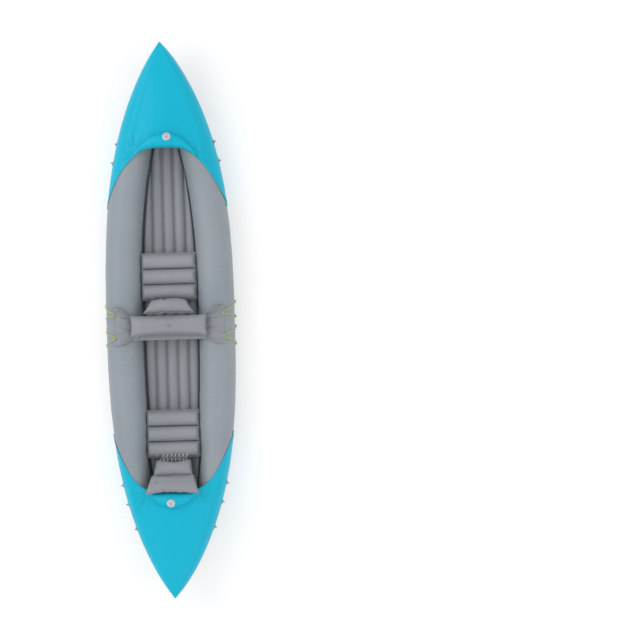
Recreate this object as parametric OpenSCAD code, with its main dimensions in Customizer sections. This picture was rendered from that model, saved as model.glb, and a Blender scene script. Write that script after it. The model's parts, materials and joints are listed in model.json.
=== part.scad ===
// Inflatable two-seat kayak with spray covers.
// +Y points to the bow, +X to starboard and +Z up. The origin is on the ground,
// under the middle of the hull.

/* [Hull] */
// Length over the two tips
hull_length = 3250; // [2950:10:3700]
// Width over the two side tubes
hull_beam = 760; // [720:5:900]
// Diameter of a side tube amidships
tube_d = 214; // [190:1:230]
// Height of the underside of each tip above the ground
tip_rise = 190; // [100:5:240]
// Height of the upright stem at each tip
stem_height = 140; // [100:5:180]
// Thickness of the air-tight skin
skin = 0.8; // [0.6:0.1:1.2]

/* [Floor] */
// Distance between two neighbouring floor lobes
floor_pitch = 66; // [56:1:70]
// Height of the floor chamber
floor_height = 80; // [60:1:90]
// Distance from the middle to where the floor turns up
floor_flat_half = 894; // [800:1:900]
// Distance from the middle to each end of the floor
floor_half = 1180; // [1120:1:1184]

/* [Covers] */
// Distance from the middle to the cockpit edge of a cover, on the centre line
edge_half = 1012; // [980:1:1060]
// How far the cockpit edge runs back along the flank
edge_depth = 320; // [240:1:340]
// Rise of the cover between the side tubes
cover_crown = 26; // [10:1:40]
// Width of a splash chamber on the centre line
splash_width = 82; // [70:1:95]
// Height of a splash chamber above its cover
splash_height = 36; // [30:1:45]

/* [Seats] */
// Width of a seat cushion
cushion_w = 304; // [260:1:310]
// Diameter of a cushion's cross lobes
cushion_lobe_d = 94; // [80:1:100]
// Distance between two cross lobes
cushion_pitch = 90; // [78:1:92]
// Length of the front backrest's pillow
pillow_l = 440; // [400:1:460]
// Diameter of the pillow from front to back
pillow_d = 116; // [90:1:124]

/* [Valves] */
// Outer diameter of a valve's screw cap
valve_cap_d = 41; // [36:1:46]
// Outer diameter of a valve's neck
valve_neck_d = 30; // [26:1:31]
// Diameter of a valve's air passage
valve_bore_d = 22; // [16:1:23]
// Outer diameter of a small stem valve
stem_valve_d = 14; // [12:1:16]

/* [Lacing and eyelets] */
// Diameter of the lacing cord
lacing_d = 4; // [3:0.5:4.5]
// Bore of a rope eyelet
eyelet_bore_d = 8; // [6:0.5:9]
// How far a rope eyelet stands out of the flank
eyelet_reach = 14; // [12:1:18]

/* [Hidden] */
$fn = 48;

turquoise = "#06B4D0";
tube_grey = "#949CA6";
seat_grey = "#8C8E96";
lime = "#B8CD46";
pale = "#CDCDD2";
rubber_grey = "#5A5C60";

// ---- Shape of the hull --------------------------------------------------

half_length = hull_length / 2;
stem_half = 5;          // half the width of a tip
outline_power = 2.8;    // fullness of the hull seen from above
outline_round = 0.85;   // bluntness of its ends
flat_share = 0.5;       // share of the length that lies flat on the ground
stern_pinch = 0.22;     // how much slimmer the tubes are beside the rear seat
tube_apart = 0.5;       // clearance of each tube from the centre line

function share(y) = min(abs(y) / half_length, 1);
function ramp(v, from, to) =
  let (s = min(max((v - from) / (to - from), 0), 1)) s * s * (3 - 2 * s);
function half_beam(y) =
  max(stem_half, hull_beam / 2 * pow(1 - pow(share(y), outline_power), outline_round));
function keel_z(y) =
  tip_rise * pow(max(0, (share(y) - flat_share) / (1 - flat_share)), outline_power - 1);
function sheer_z(y) = tube_d + (tip_rise + stem_height - tube_d) * pow(share(y), 3);
function tube_portion(y) =
  y > 0 ? 0.5 : 0.5 - stern_pinch * (ramp(share(y), 0.2, 0.5) - ramp(share(y), 0.64, 0.86));
// The tube is the smaller of its own radius and its portion of the half beam,
// with a smooth change from one to the other.
function tube_rx(y) =
  let (a = tube_portion(y) * half_beam(y) - tube_apart, b = tube_d / 2)
  a * b / pow(pow(a, 6) + pow(b, 6), 1 / 6);
function tube_rz(y) = (sheer_z(y) - keel_z(y)) / 2;
function tube_cx(y) = half_beam(y) - tube_rx(y);
function tube_cz(y) = (sheer_z(y) + keel_z(y)) / 2;
// A point on the starboard tube, angle degrees above the outer side, off proud of it
function tube_point(y, angle, off) = [
  tube_cx(y) + (tube_rx(y) + off) * cos(angle), y, tube_cz(y) + (tube_rz(y) + off) * sin(angle)
];

// ---- Helpers ------------------------------------------------------------

// A closed solid through rings of points. Seen along the way the rings follow each
// other, each ring runs clockwise when turn is -1 and anticlockwise when it is 1.
module loft(rings, turn = 1) {
  n = len(rings[0]);
  m = len(rings);
  function wind(face) = turn == 1 ? face : [for (i = [len(face) - 1:-1:0]) face[i]];
  polyhedron(
    points = [for (ring = rings) each ring],
    faces = concat(
      [wind([for (k = [n - 1:-1:0]) k])],
      [for (i = [0:m - 2], k = [0:n - 1])
        let (a = i * n + k, b = i * n + (k + 1) % n) wind([a, b, b + n])],
      [for (i = [0:m - 2], k = [0:n - 1])
        let (a = i * n + k, b = i * n + (k + 1) % n) wind([a, b + n, a + n])],
      [wind([for (k = [0:n - 1]) (m - 1) * n + k])]
    ),
    convexity = 6
  );
}

// A closed sheet between an outer and an inner grid of points, each rows by columns.
// It is wound as loft is.
module sheet(outer, inner, turn = 1) {
  m = len(outer);
  n = len(outer[0]);
  function at(i, k) = i * n + k;
  function under(i, k) = (m + i) * n + k;
  quads = concat(
    [for (i = [0:m - 2], k = [0:n - 2])
      [at(i, k), at(i, k + 1), at(i + 1, k + 1), at(i + 1, k)]],
    [for (i = [0:m - 2], k = [0:n - 2])
      [under(i, k), under(i + 1, k), under(i + 1, k + 1), under(i, k + 1)]],
    [for (i = [0:m - 2]) [at(i, n - 1), under(i, n - 1), under(i + 1, n - 1), at(i + 1, n - 1)]],
    [for (i = [0:m - 2]) [under(i, 0), at(i, 0), at(i + 1, 0), under(i + 1, 0)]],
    [for (k = [0:n - 2]) [under(0, k), under(0, k + 1), at(0, k + 1), at(0, k)]],
    [for (k = [0:n - 2]) [at(m - 1, k), at(m - 1, k + 1), under(m - 1, k + 1), under(m - 1, k)]]
  );
  function wind(q) = turn == 1 ? q : [q[3], q[2], q[1], q[0]];
  polyhedron(
    points = concat([for (row = outer) each row], [for (row = inner) each row]),
    faces = [for (q = quads) let (w = wind(q)) each [[w[0], w[1], w[2]], [w[0], w[2], w[3]]]],
    convexity = 6
  );
}

// Draws its children on the starboard side and mirrored on the port side.
module both_sides() {
  children();
  mirror([1, 0, 0]) children();
}

// ---- Side tubes ---------------------------------------------------------

tube_reach = half_length - 20;
tube_sides = 20;
tube_half_rings = 17;
tube_stations =
  [for (i = [-tube_half_rings:tube_half_rings]) tube_reach * sin(90 * i / tube_half_rings)];

function tube_ring(y, off) =
  [for (k = [0:tube_sides - 1]) tube_point(y, 360 * k / tube_sides, off)];

module side_tube_skin() {
  last = len(tube_stations) - 1;
  difference() {
    loft([for (y = tube_stations) tube_ring(y, 0)]);
    loft([for (i = [1:last - 1]) tube_ring(tube_stations[i], -skin)]);
    at_tube_valve() valve_hole();
  }
}

module port_side_tube() {
  color(tube_grey) mirror([1, 0, 0]) side_tube_skin();
}

module starboard_side_tube() {
  color(tube_grey) side_tube_skin();
}

// ---- Floor --------------------------------------------------------------

floor_lobes = 5;
floor_lobe_r = max(floor_height / 2 - 2, floor_pitch / 2 + 4);
floor_turn_up = 7;      // degrees by which the floor's ends turn up
floor_side_gap = 4;     // clearance between the floor and the side tubes
floor_steps = 12;
beam_t = 0.8;           // thickness of an upright web
beam_gap = 0.3;         // clearance between a web and the skin
beam_height = floor_height - floor_lobe_r - skin - 2 * beam_gap
  + sqrt(pow(floor_lobe_r - skin, 2) - pow(floor_pitch / 2, 2));

function floor_half_w(y) =
  min(floor_lobes * floor_pitch / 2, tube_cx(y) - tube_rx(y) - floor_side_gap);

// Section of all the lobes side by side, flat below, drawn in X and Y
module floor_section(off) {
  for (i = [0:floor_lobes - 1]) {
    x = (i - (floor_lobes - 1) / 2) * floor_pitch;
    translate([x, floor_height - floor_lobe_r]) circle(r = floor_lobe_r - off);
    translate([x - floor_pitch / 2, off])
      square([floor_pitch, floor_height - floor_lobe_r - off]);
  }
}

// A run of the section along Y, from y = 0 to y = l
module floor_run(l, off) {
  translate([0, l, 0]) rotate([90, 0, 0])
    linear_extrude(height = l) floor_section(off);
}

module floor_solid(off) {
  end_l = floor_half - floor_flat_half + 20;
  translate([0, -floor_flat_half, 0]) floor_run(2 * floor_flat_half, off);
  for (turn = [0, 180])
    rotate([0, 0, turn]) translate([0, floor_flat_half, 0])
      rotate([floor_turn_up, 0, 0]) floor_run(end_l, off);
}

module floor_plan(off) {
  reach = floor_half - off;
  ys = [for (i = [-floor_steps:floor_steps]) reach * i / floor_steps];
  translate([0, 0, -10]) linear_extrude(height = floor_height + 120)
    polygon(concat(
      [for (y = ys) [floor_half_w(y) - off, y]],
      [for (i = [len(ys) - 1:-1:0]) [-floor_half_w(ys[i]) + off, ys[i]]]
    ));
}

module floor_skin() {
  color(seat_grey) difference() {
    intersection() { floor_solid(0); floor_plan(0); }
    intersection() { floor_solid(skin); floor_plan(skin); }
    at_floor_valve() valve_hole();
  }
}

module floor_beams() {
  color(seat_grey)
    for (i = [1:floor_lobes - 1]) {
      x = (i - floor_lobes / 2) * floor_pitch;
      translate([x - beam_t / 2, -floor_flat_half + 10, skin + beam_gap])
        cube([beam_t, 2 * floor_flat_half - 20, beam_height]);
    }
}

// ---- Covers -------------------------------------------------------------

cover_gap = 2;          // clearance between a cover and the side tubes
cover_skin = 1;         // thickness of a cover
seam_angle = 63;        // where the side panel meets the top panel
seam_gap_angle = 0.6;   // half the clearance along that seam
lower_angle = -42;      // where the side panel ends below the flank
arch_share = 0.7;       // share of the top panel that spans between the tubes
edge_power = 3.8;       // squareness of the cockpit edge
edge_ref = 850;         // station at which the edge's width is taken
cover_rows = 13;
top_columns = 16;
side_columns = 8;

function crown(y) = cover_crown * (1 - ramp(share(y), 0.62, 0.97));
function edge_y(x) = edge_half - edge_depth * pow(min(1, x / half_beam(edge_ref)), edge_power);

// A point on the top panel; u runs from -1 at the port seam to 1 at the starboard one
function top_point(u, y, off) =
  let (a = abs(u), side = u < 0 ? -1 : 1,
       top_angle = seam_angle + seam_gap_angle,
       angle = 90 - (90 - top_angle) * (a - arch_share) / (1 - arch_share),
       p = tube_point(y, angle, off),
       s = a / arch_share)
  a > arch_share ? [side * p[0], y, p[2]]
  : [side * tube_cx(y) * s, y, tube_cz(y) + tube_rz(y) + off + crown(y) * (1 - s * s)];

function cover_row_y(from, i) = from + (half_length - from) * sin(90 * i / cover_rows);

// end is 1 for the bow and -1 for the stern
module cover_top(end) {
  us = [for (k = [0:top_columns]) 1 - 2 * k / top_columns];
  function grid(off) = [for (i = [0:cover_rows]) [for (u = us)
    let (y = cover_row_y(edge_y(abs(top_point(u, edge_ref, off)[0])), i),
         p = top_point(u, end * y, off)) p]];
  sheet(grid(cover_gap + cover_skin), grid(cover_gap), end);
}

module cover_side(end) {
  first = seam_angle - seam_gap_angle;
  angles = [for (k = [0:side_columns]) lower_angle + (first - lower_angle) * k / side_columns];
  function start(angle) = edge_y(tube_point(edge_ref, max(angle, 0), 0)[0]);
  function grid(off) = [for (i = [0:cover_rows]) [for (angle = angles)
    tube_point(end * cover_row_y(start(angle), i), angle, off)]];
  sheet(grid(cover_gap + cover_skin), grid(cover_gap), end);
}

module bow_cover_top() { color(turquoise) cover_top(1); }
module stern_cover_top() { color(turquoise) cover_top(-1); }
module bow_cover_starboard() { color(turquoise) cover_side(1); }
module bow_cover_port() { color(turquoise) mirror([1, 0, 0]) cover_side(1); }
module stern_cover_starboard() { color(turquoise) cover_side(-1); }
module stern_cover_port() { color(turquoise) mirror([1, 0, 0]) cover_side(-1); }

// ---- Splash chambers ----------------------------------------------------

splash_setback = 4;     // distance from the cockpit edge
splash_lift = 2;        // clearance above the cover
splash_sides = 12;
splash_half_rings = 9;

// Share of the span between the tubes that a splash chamber takes up
function splash_span(end) = end > 0 ? 0.89 : 0.66;
// How far a splash chamber lies to starboard, as a share of half that span
function splash_shift(end) = end > 0 ? 0.105 : 0;

// One ring across the chamber; s runs from -1 at its port end to 1
function splash_ring(end, s, off) =
  let (u = (s * splash_span(end) + splash_shift(end)) * arch_share,
       x = abs(top_point(u, edge_ref, 0)[0]),
       round = pow(1 - s * s, 0.5),
       w = splash_width * round, h = splash_height * round,
       from = edge_y(x) + splash_setback)
  [for (k = [0:splash_sides - 1])
    let (a = 360 * k / splash_sides,
         across = w / 2 - (w / 2 - off) * cos(a),
         y = from + across,
         base = top_point(u, end * y, cover_gap + cover_skin),
         rise = sin(a) > 0 ? (h - 2 * off) * sin(a) : 0)
    [base[0], end * y, base[2] + splash_lift + off + rise]];

module splash_chamber(end) {
  stations = [for (i = [-splash_half_rings:splash_half_rings])
    0.985 * sin(90 * i / splash_half_rings)];
  last = len(stations) - 1;
  difference() {
    loft([for (s = stations) splash_ring(end, s, 0)], end);
    loft([for (i = [2:last - 2]) splash_ring(end, stations[i], skin)], end);
    at_splash_valve(end) valve_hole();
  }
}

module bow_splash_chamber() { color(turquoise) splash_chamber(1); }
module stern_splash_chamber() { color(turquoise) splash_chamber(-1); }

tab_r = 14;
tab_t = 4;
tab_angle = 8;

module cover_end_tabs() {
  y = edge_half - edge_depth - tab_r - 1;
  color(turquoise) both_sides() for (end = [-1, 1])
    translate(tube_point(end * y, tab_angle, 0.8)) rotate([0, 90 - tab_angle, 0])
      cylinder(h = tab_t, r = tab_r);
}

// ---- Seat cushions ------------------------------------------------------

cushion_lift = 1.5;     // clearance above the floor
cushion_lobes = 3;
cushion_z = floor_height + cushion_lift + cushion_lobe_d / 2;
cushion_taper = 18;     // length of the rounded end of a lobe
front_cushion_y = 258;
rear_cushion_y = -672;

// A lobe across the boat with tapered ends
module cushion_lobe(off) {
  r = cushion_lobe_d / 2 - off;
  body = cushion_w - 2 * cushion_taper;
  rotate([0, 90, 0]) {
    cylinder(h = body, r = r, center = true);
    for (turn = [0, 180]) rotate([turn, 0, 0])
      translate([0, 0, body / 2])
        cylinder(h = cushion_taper - off, r1 = r, r2 = r - cushion_taper);
  }
}

module cushion_lobes(off) {
  for (i = [0:cushion_lobes - 1])
    translate([0, (i - (cushion_lobes - 1) / 2) * cushion_pitch, cushion_z])
      cushion_lobe(off);
}

module cushion(y) {
  color(seat_grey) difference() {
    translate([0, y, 0]) cushion_lobes(0);
    translate([0, y, 0]) cushion_lobes(skin);
    at_cushion_stem(y) stem_hole();
  }
}

module front_cushion() { cushion(front_cushion_y); }
module rear_cushion() { cushion(rear_cushion_y); }

// ---- Backrests ----------------------------------------------------------

// A roll across the boat
module roll(y, z, r, w) {
  translate([0, y, z]) rotate([0, 90, 0])
    cylinder(h = w, r = r, center = true, $fn = 24);
}

// A flat chamber between two rolls, each given as [y, z, r, w]
module chamber(first, second) {
  module blown(off) {
    hull() for (c = [first, second]) roll(c[0], c[1], c[2] - off, c[3] - 2 * off);
  }
  difference() {
    blown(0);
    blown(skin);
    children();
  }
}

cushion_top = cushion_z + cushion_lobe_d / 2;
front_lower_a = [112, cushion_top + 20, 17, 210];
front_lower_b = [64, cushion_top + 34, 26, 300];

module front_backrest_lower() {
  color(seat_grey) chamber(front_lower_a, front_lower_b);
}

sheet_z = tube_d - 13;  // height of the backrest sheet between the tubes
sheet_t = 1.2;
sheet_gap = 2;          // clearance between the flaps and the side tubes
flap_x = tube_cx(0) + 67.4;
pillow_y = -32;
pillow_h = 84;
pillow_z = sheet_z + sheet_t + 3 + pillow_h / 2;
pillow_power = 5;       // squareness of the pillow's ends
pillow_sides = 16;
pillow_half_rings = 9;

module front_backrest_pillow() {
  function fullness(s) = pow(1 - pow(abs(s), pillow_power), 0.5);
  function ring(s, off) = [for (k = [0:pillow_sides - 1])
    let (a = 360 * k / pillow_sides)
    [s * pillow_l / 2,
     pillow_y + (pillow_d / 2 * (0.35 + 0.65 * fullness(s)) - off) * sin(a),
     pillow_z + (pillow_h / 2 * (0.12 + 0.88 * fullness(s)) - off) * cos(a)]];
  stations = [for (i = [-pillow_half_rings:pillow_half_rings]) sin(90 * i / pillow_half_rings)];
  last = len(stations) - 1;
  color(seat_grey) difference() {
    loft([for (s = stations) ring(s, 0)]);
    loft([for (i = [1:last - 1]) ring(stations[i], skin)]);
    at_pillow_stem() stem_hole();
  }
}

// Height of the sheet's underside at x
function sheet_under(x) =
  let (out = abs(x) - tube_cx(0), r = tube_d / 2 + sheet_gap,
       on_tube = tube_d / 2 + sqrt(max(0, r * r - out * out)))
  out < 0 ? max(sheet_z, on_tube) : on_tube;

module front_backrest_sheet() {
  columns = 24;
  rows = 5;
  xs = [for (i = [-columns / 2:columns / 2]) flap_x * i * 2 / columns];
  function edge(x, v) =
    let (wide = ramp(abs(x), pillow_l / 2 - 30, flap_x - 16),
         behind = v < 0 ? 26 * (1 - wide) : 0)
    pillow_y + v * (pillow_d / 2 + behind + wide * 56);
  function grid(up) = [for (x = xs) [for (k = [0:rows])
    [x, edge(x, 1 - 2 * k / rows), sheet_under(x) + up]]];
  color(seat_grey) sheet(grid(sheet_t), grid(0), -1);
}

hinge_y = -826;
hinge_z = 182;
rear_lower_a = [-848, 192, 21, 200];
rear_lower_b = [-893, 217, 29, 224];
rear_upper_a = [-935, 260, 24, 240];
rear_upper_b = [-997, 304, 21, 306];

module rear_backrest_lower() { color(seat_grey) chamber(rear_lower_a, rear_lower_b); }

module rear_backrest_upper() {
  color(seat_grey) chamber(rear_upper_a, rear_upper_b) at_backrest_stem() stem_hole();
}

// A strip that stands on the floor behind the rear cushion and carries the backrest
module rear_backrest_skirt() {
  t = 1.5;
  color(seat_grey) translate([-90, hinge_y - t / 2, floor_height + 0.5])
    cube([180, t, hinge_z - floor_height - 10]);
}

// ---- Lacing -------------------------------------------------------------

button_r = 9;
button_h = 11;
button_post_r = 4.6;
flap_button_angle = 65;  // above the outer side of the tube
flank_button_angle = -20;
flap_button_ys = [37, -99];
flank_button_ys = [100, 12, -45, -148];

module button() {
  cylinder(h = 1, r = button_r + 1);
  cylinder(h = button_h, r = button_post_r);
  translate([0, 0, button_h - 2]) cylinder(h = 2, r = button_r);
}

module button_at(y, angle, lift) {
  translate(tube_point(y, angle, lift)) rotate([0, 90 - angle, 0]) button();
}

module lacing_buttons() {
  color(rubber_grey) both_sides() {
    for (y = flap_button_ys) button_at(y, flap_button_angle, sheet_gap + sheet_t + 0.6);
    for (y = flank_button_ys) button_at(y, flank_button_angle, 0.5);
  }
}

// The starboard cord's route, from knot to knot: round the buttons below the
// flank and over the tube to the buttons on the flap
lacing_route = [
  [376, 90, 63], [375, 100, 61], [376, 106, 63], [378, 108, 69],
  [385, 97, 97], [381, 82, 136], [368, 70, 166], [349, 58, 191],
  [322, 45, 211], [317, 43, 214], [314, 37, 215], [317, 31, 214], [322, 29, 211],
  [349, 27, 191], [368, 25, 166], [381, 23, 136], [385, 22, 97],
  [378, 20, 69], [376, 18, 63], [375, 12, 61],
  [375, -45, 61], [376, -51, 63], [378, -53, 69],
  [385, -60, 97], [381, -69, 136], [368, -76, 166], [349, -83, 191],
  [322, -91, 211], [317, -93, 214], [314, -99, 215], [317, -105, 214], [322, -107, 211],
  [349, -117, 191], [368, -126, 166], [381, -136, 136], [385, -147, 97],
  [378, -156, 69], [376, -154, 63], [375, -148, 61], [376, -138, 63],
];
lacing_sides = 8;

function unit(v) = v / norm(v);
function along(p, i) = unit(p[min(i + 1, len(p) - 1)] - p[max(i - 1, 0)]);
// A side direction that is carried from ring to ring without a twist
function carried(p, i, before) = let (a = along(p, i)) unit(before - a * (before * a));
function side_dirs(p) =
  [for (i = 0, s = carried(p, 0, [1, 0, 0]); i < len(p); i = i + 1,
        s = i < len(p) ? carried(p, i, s) : s) s];

module cord(route, d) {
  dirs = side_dirs(route);
  loft([for (i = [0:len(route) - 1])
    let (a = along(route, i), s = dirs[i], c = cross(a, s))
    [for (k = [0:lacing_sides - 1])
      let (w = 360 * k / lacing_sides) route[i] + d / 2 * (cos(w) * s + sin(w) * c)]], -1);
}

module starboard_lacing_cord() { color(lime) cord(lacing_route, lacing_d); }
module port_lacing_cord() { color(lime) mirror([1, 0, 0]) cord(lacing_route, lacing_d); }

module lacing_knots() {
  first = lacing_route[0];
  last = lacing_route[len(lacing_route) - 1];
  color(lime) both_sides() {
    translate(first - [0, 5, 0]) sphere(r = 5);
    translate(last + [0, 5, 0]) sphere(r = 5);
  }
}

// ---- Rope eyelets -------------------------------------------------------

eyelet_ys = [1047, 936, -971, -1082, -1228];
eyelet_w = 20;
eyelet_t = 8;
eyelet_lift = cover_gap + cover_skin + 0.5;

// Degrees by which the outline turns away from Y at a station
function outline_turn(y) = atan((half_beam(y - 5) - half_beam(y + 5)) / 10);

module eyelet() {
  difference() {
    union() {
      translate([0, -eyelet_w / 2 - 5, -11]) cube([2, eyelet_w + 10, 22]);
      translate([0, -eyelet_t / 2, -8]) cube([eyelet_reach - 7.5, eyelet_t, 16]);
      translate([eyelet_reach - 7.5, 0, 0]) rotate([90, 0, 0])
        cylinder(h = eyelet_t, r = 7.5, center = true);
    }
    translate([eyelet_reach - 7.5, 0, 0]) rotate([90, 0, 0])
      cylinder(h = eyelet_w + 20, d = eyelet_bore_d, center = true);
  }
}

module rope_eyelets() {
  color(rubber_grey) both_sides() for (y = eyelet_ys)
    translate(tube_point(y, 0, eyelet_lift)) rotate([0, 0, outline_turn(y)]) eyelet();
}

// ---- Screw valves -------------------------------------------------------

valve_flange_r = 24;
valve_flange_t = 2.5;
valve_neck_up = 7;
valve_neck_down = 12;
valve_play = 0.08;      // radial clearance of the cap on the neck
valve_hole_gap = 0.4;   // clearance between the flange and the skin around it
seal_t = 1.2;
seal_gap = 0.1;
cap_top_t = 3;
cap_skirt_gap = 0.6;    // clearance between the closed cap and the flange
flap_t = 1.2;

module valve_hole() {
  cylinder(h = 30, r = valve_flange_r + valve_hole_gap, center = true);
}

module valve_base() {
  color(pale) difference() {
    union() {
      cylinder(h = valve_flange_t, r = valve_flange_r, center = true);
      translate([0, 0, -valve_neck_down])
        cylinder(h = valve_neck_down + valve_neck_up, d = valve_neck_d);
    }
    translate([0, 0, -valve_neck_down - 1])
      cylinder(h = valve_neck_down + valve_neck_up + 2, d = valve_bore_d);
  }
}

// The non-return disc that closes the neck from inside
module valve_flap() {
  color(rubber_grey) translate([0, 0, -valve_neck_down - seal_gap - flap_t])
    cylinder(h = flap_t, d = valve_bore_d + 3);
}

module valve_seal() {
  color(rubber_grey) translate([0, 0, valve_neck_up + seal_gap]) difference() {
    cylinder(h = seal_t, d = valve_neck_d - 1);
    translate([0, 0, -1]) cylinder(h = seal_t + 2, d = valve_bore_d);
  }
}

// The cap has a bar across its top to turn it by
module valve_cap() {
  under = valve_neck_up + 2 * seal_gap + seal_t;
  low = valve_flange_t / 2 + cap_skirt_gap;
  color(pale) {
    difference() {
      translate([0, 0, low]) cylinder(h = under + cap_top_t - low, d = valve_cap_d);
      translate([0, 0, low - 1])
        cylinder(h = under - low + 1, r = valve_neck_d / 2 + valve_play);
      translate([0, 0, under + 1.5]) cylinder(h = cap_top_t, r = valve_cap_d / 2 - 4);
    }
    translate([-valve_cap_d / 2 + 3, -2, under + 1])
      cube([valve_cap_d - 6, 4, cap_top_t - 0.5]);
  }
}

splash_valve_across = 0.7;  // place across the chamber, from the cockpit edge
splash_valve_tilt = 20;

module at_splash_valve(end) {
  x = end > 0 ? 26 : -9;
  u = x / tube_cx(edge_ref) * arch_share;
  y = edge_half + splash_setback + splash_width * splash_valve_across;
  base = top_point(u, end * y, cover_gap + cover_skin);
  translate([x, end * y, base[2] + splash_lift + splash_height * 0.9])
    rotate([-end * splash_valve_tilt, 0, 0]) children();
}

tube_valve_y = -1075;
tube_valve_angle = 140;

module at_tube_valve() {
  translate(tube_point(tube_valve_y, tube_valve_angle, 0))
    rotate([0, 90 - tube_valve_angle, 0]) children();
}

floor_valve_y = 1085;

module at_floor_valve() {
  translate([0, floor_flat_half, 0]) rotate([floor_turn_up, 0, 0])
    translate([0, floor_valve_y - floor_flat_half, floor_height - 1.5]) children();
}

module bow_valve_base() { at_splash_valve(1) valve_base(); }
module bow_valve_flap() { at_splash_valve(1) valve_flap(); }
module bow_valve_seal() { at_splash_valve(1) valve_seal(); }
module bow_valve_cap() { at_splash_valve(1) valve_cap(); }
module stern_valve_base() { at_splash_valve(-1) valve_base(); }
module stern_valve_flap() { at_splash_valve(-1) valve_flap(); }
module stern_valve_seal() { at_splash_valve(-1) valve_seal(); }
module stern_valve_cap() { at_splash_valve(-1) valve_cap(); }
module port_valve_base() { mirror([1, 0, 0]) at_tube_valve() valve_base(); }
module port_valve_flap() { mirror([1, 0, 0]) at_tube_valve() valve_flap(); }
module port_valve_seal() { mirror([1, 0, 0]) at_tube_valve() valve_seal(); }
module port_valve_cap() { mirror([1, 0, 0]) at_tube_valve() valve_cap(); }
module starboard_valve_base() { at_tube_valve() valve_base(); }
module starboard_valve_flap() { at_tube_valve() valve_flap(); }
module starboard_valve_seal() { at_tube_valve() valve_seal(); }
module starboard_valve_cap() { at_tube_valve() valve_cap(); }
module floor_valve_base() { at_floor_valve() valve_base(); }
module floor_valve_flap() { at_floor_valve() valve_flap(); }
module floor_valve_seal() { at_floor_valve() valve_seal(); }
module floor_valve_cap() { at_floor_valve() valve_cap(); }

// ---- Stem valves --------------------------------------------------------

stem_up = 6;
stem_down = 6;
stem_bore_r = stem_valve_d / 2 - 2.4;
stem_hinge_x = stem_valve_d / 2 + 3;
stem_pin_r = 0.9;
stem_pin_play = 0.08;

module stem_hole() {
  cylinder(h = 20, r = stem_valve_d / 2 + 2.4, center = true);
}

// The stem has a collar in the skin, and a lug with the pin of its plug's hinge
module stem() {
  color(pale) difference() {
    union() {
      translate([0, 0, -stem_down]) cylinder(h = stem_down + stem_up, d = stem_valve_d);
      translate([0, 0, -0.6]) cylinder(h = 1.2, r = stem_valve_d / 2 + 2);
      for (side = [-1, 1])
        translate([stem_valve_d / 2 - 2, side * 3.2 - 0.8, 1.5])
          cube([stem_hinge_x - stem_valve_d / 2 + 3.4, 1.6, stem_up - 0.1]);
      translate([stem_hinge_x, 0, stem_up]) rotate([90, 0, 0])
        cylinder(h = 7, r = stem_pin_r, center = true);
    }
    translate([0, 0, -stem_down - 1])
      cylinder(h = stem_down + stem_up + 2, r = stem_bore_r);
  }
}

module plug() {
  color(pale) difference() {
    union() {
      translate([0, 0, stem_up + 0.3]) cylinder(h = 1.6, d = stem_valve_d - 3);
      translate([0, 0, stem_up - 1.6]) cylinder(h = 2, r = stem_bore_r - 0.5);
      translate([0, -1.8, stem_up + 0.3]) cube([stem_hinge_x, 3.6, 1.6]);
      translate([stem_hinge_x, 0, stem_up]) rotate([90, 0, 0])
        cylinder(h = 3.6, r = 2, center = true);
    }
    translate([stem_hinge_x, 0, stem_up]) rotate([90, 0, 0])
      cylinder(h = 5, r = stem_pin_r + stem_pin_play, center = true);
  }
}

module at_cushion_stem(y) {
  rear = y - (cushion_lobes - 1) / 2 * cushion_pitch;
  translate([-100, rear, cushion_z]) rotate([50, 0, 0])
    translate([0, 0, cushion_lobe_d / 2]) children();
}

module at_pillow_stem() {
  translate([0, pillow_y, pillow_z + pillow_h / 2 - 0.5]) children();
}

module at_backrest_stem() {
  lean = atan((rear_upper_b[1] - rear_upper_a[1]) / (rear_upper_a[0] - rear_upper_b[0]));
  middle = (rear_upper_a + rear_upper_b) / 2;
  translate([-95, middle[0], middle[1]]) rotate([-lean, 0, 0])
    translate([0, 0, middle[2] - 0.3]) children();
}

module front_cushion_stem() { at_cushion_stem(front_cushion_y) stem(); }
module front_cushion_plug() { at_cushion_stem(front_cushion_y) plug(); }
module rear_cushion_stem() { at_cushion_stem(rear_cushion_y) stem(); }
module rear_cushion_plug() { at_cushion_stem(rear_cushion_y) plug(); }
module pillow_stem() { at_pillow_stem() stem(); }
module pillow_plug() { at_pillow_stem() plug(); }
module rear_backrest_stem() { at_backrest_stem() stem(); }
module rear_backrest_plug() { at_backrest_stem() plug(); }

port_side_tube();
starboard_side_tube();
floor_skin();
floor_beams();
bow_cover_top();
bow_cover_port();
bow_cover_starboard();
stern_cover_top();
stern_cover_port();
stern_cover_starboard();
bow_splash_chamber();
stern_splash_chamber();
cover_end_tabs();
front_cushion();
rear_cushion();
front_backrest_lower();
front_backrest_pillow();
front_backrest_sheet();
rear_backrest_lower();
rear_backrest_upper();
rear_backrest_skirt();
lacing_buttons();
port_lacing_cord();
starboard_lacing_cord();
lacing_knots();
rope_eyelets();
bow_valve_base();
bow_valve_flap();
bow_valve_seal();
bow_valve_cap();
stern_valve_base();
stern_valve_flap();
stern_valve_seal();
stern_valve_cap();
port_valve_base();
port_valve_flap();
port_valve_seal();
port_valve_cap();
starboard_valve_base();
starboard_valve_flap();
starboard_valve_seal();
starboard_valve_cap();
floor_valve_base();
floor_valve_flap();
floor_valve_seal();
floor_valve_cap();
front_cushion_stem();
front_cushion_plug();
rear_cushion_stem();
rear_cushion_plug();
pillow_stem();
pillow_plug();
rear_backrest_stem();
rear_backrest_plug();
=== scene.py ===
import json
import math

import bmesh
import bpy
from bpy.props import FloatProperty, FloatVectorProperty, IntProperty, PointerProperty
from mathutils import Matrix, Vector, noise

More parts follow.
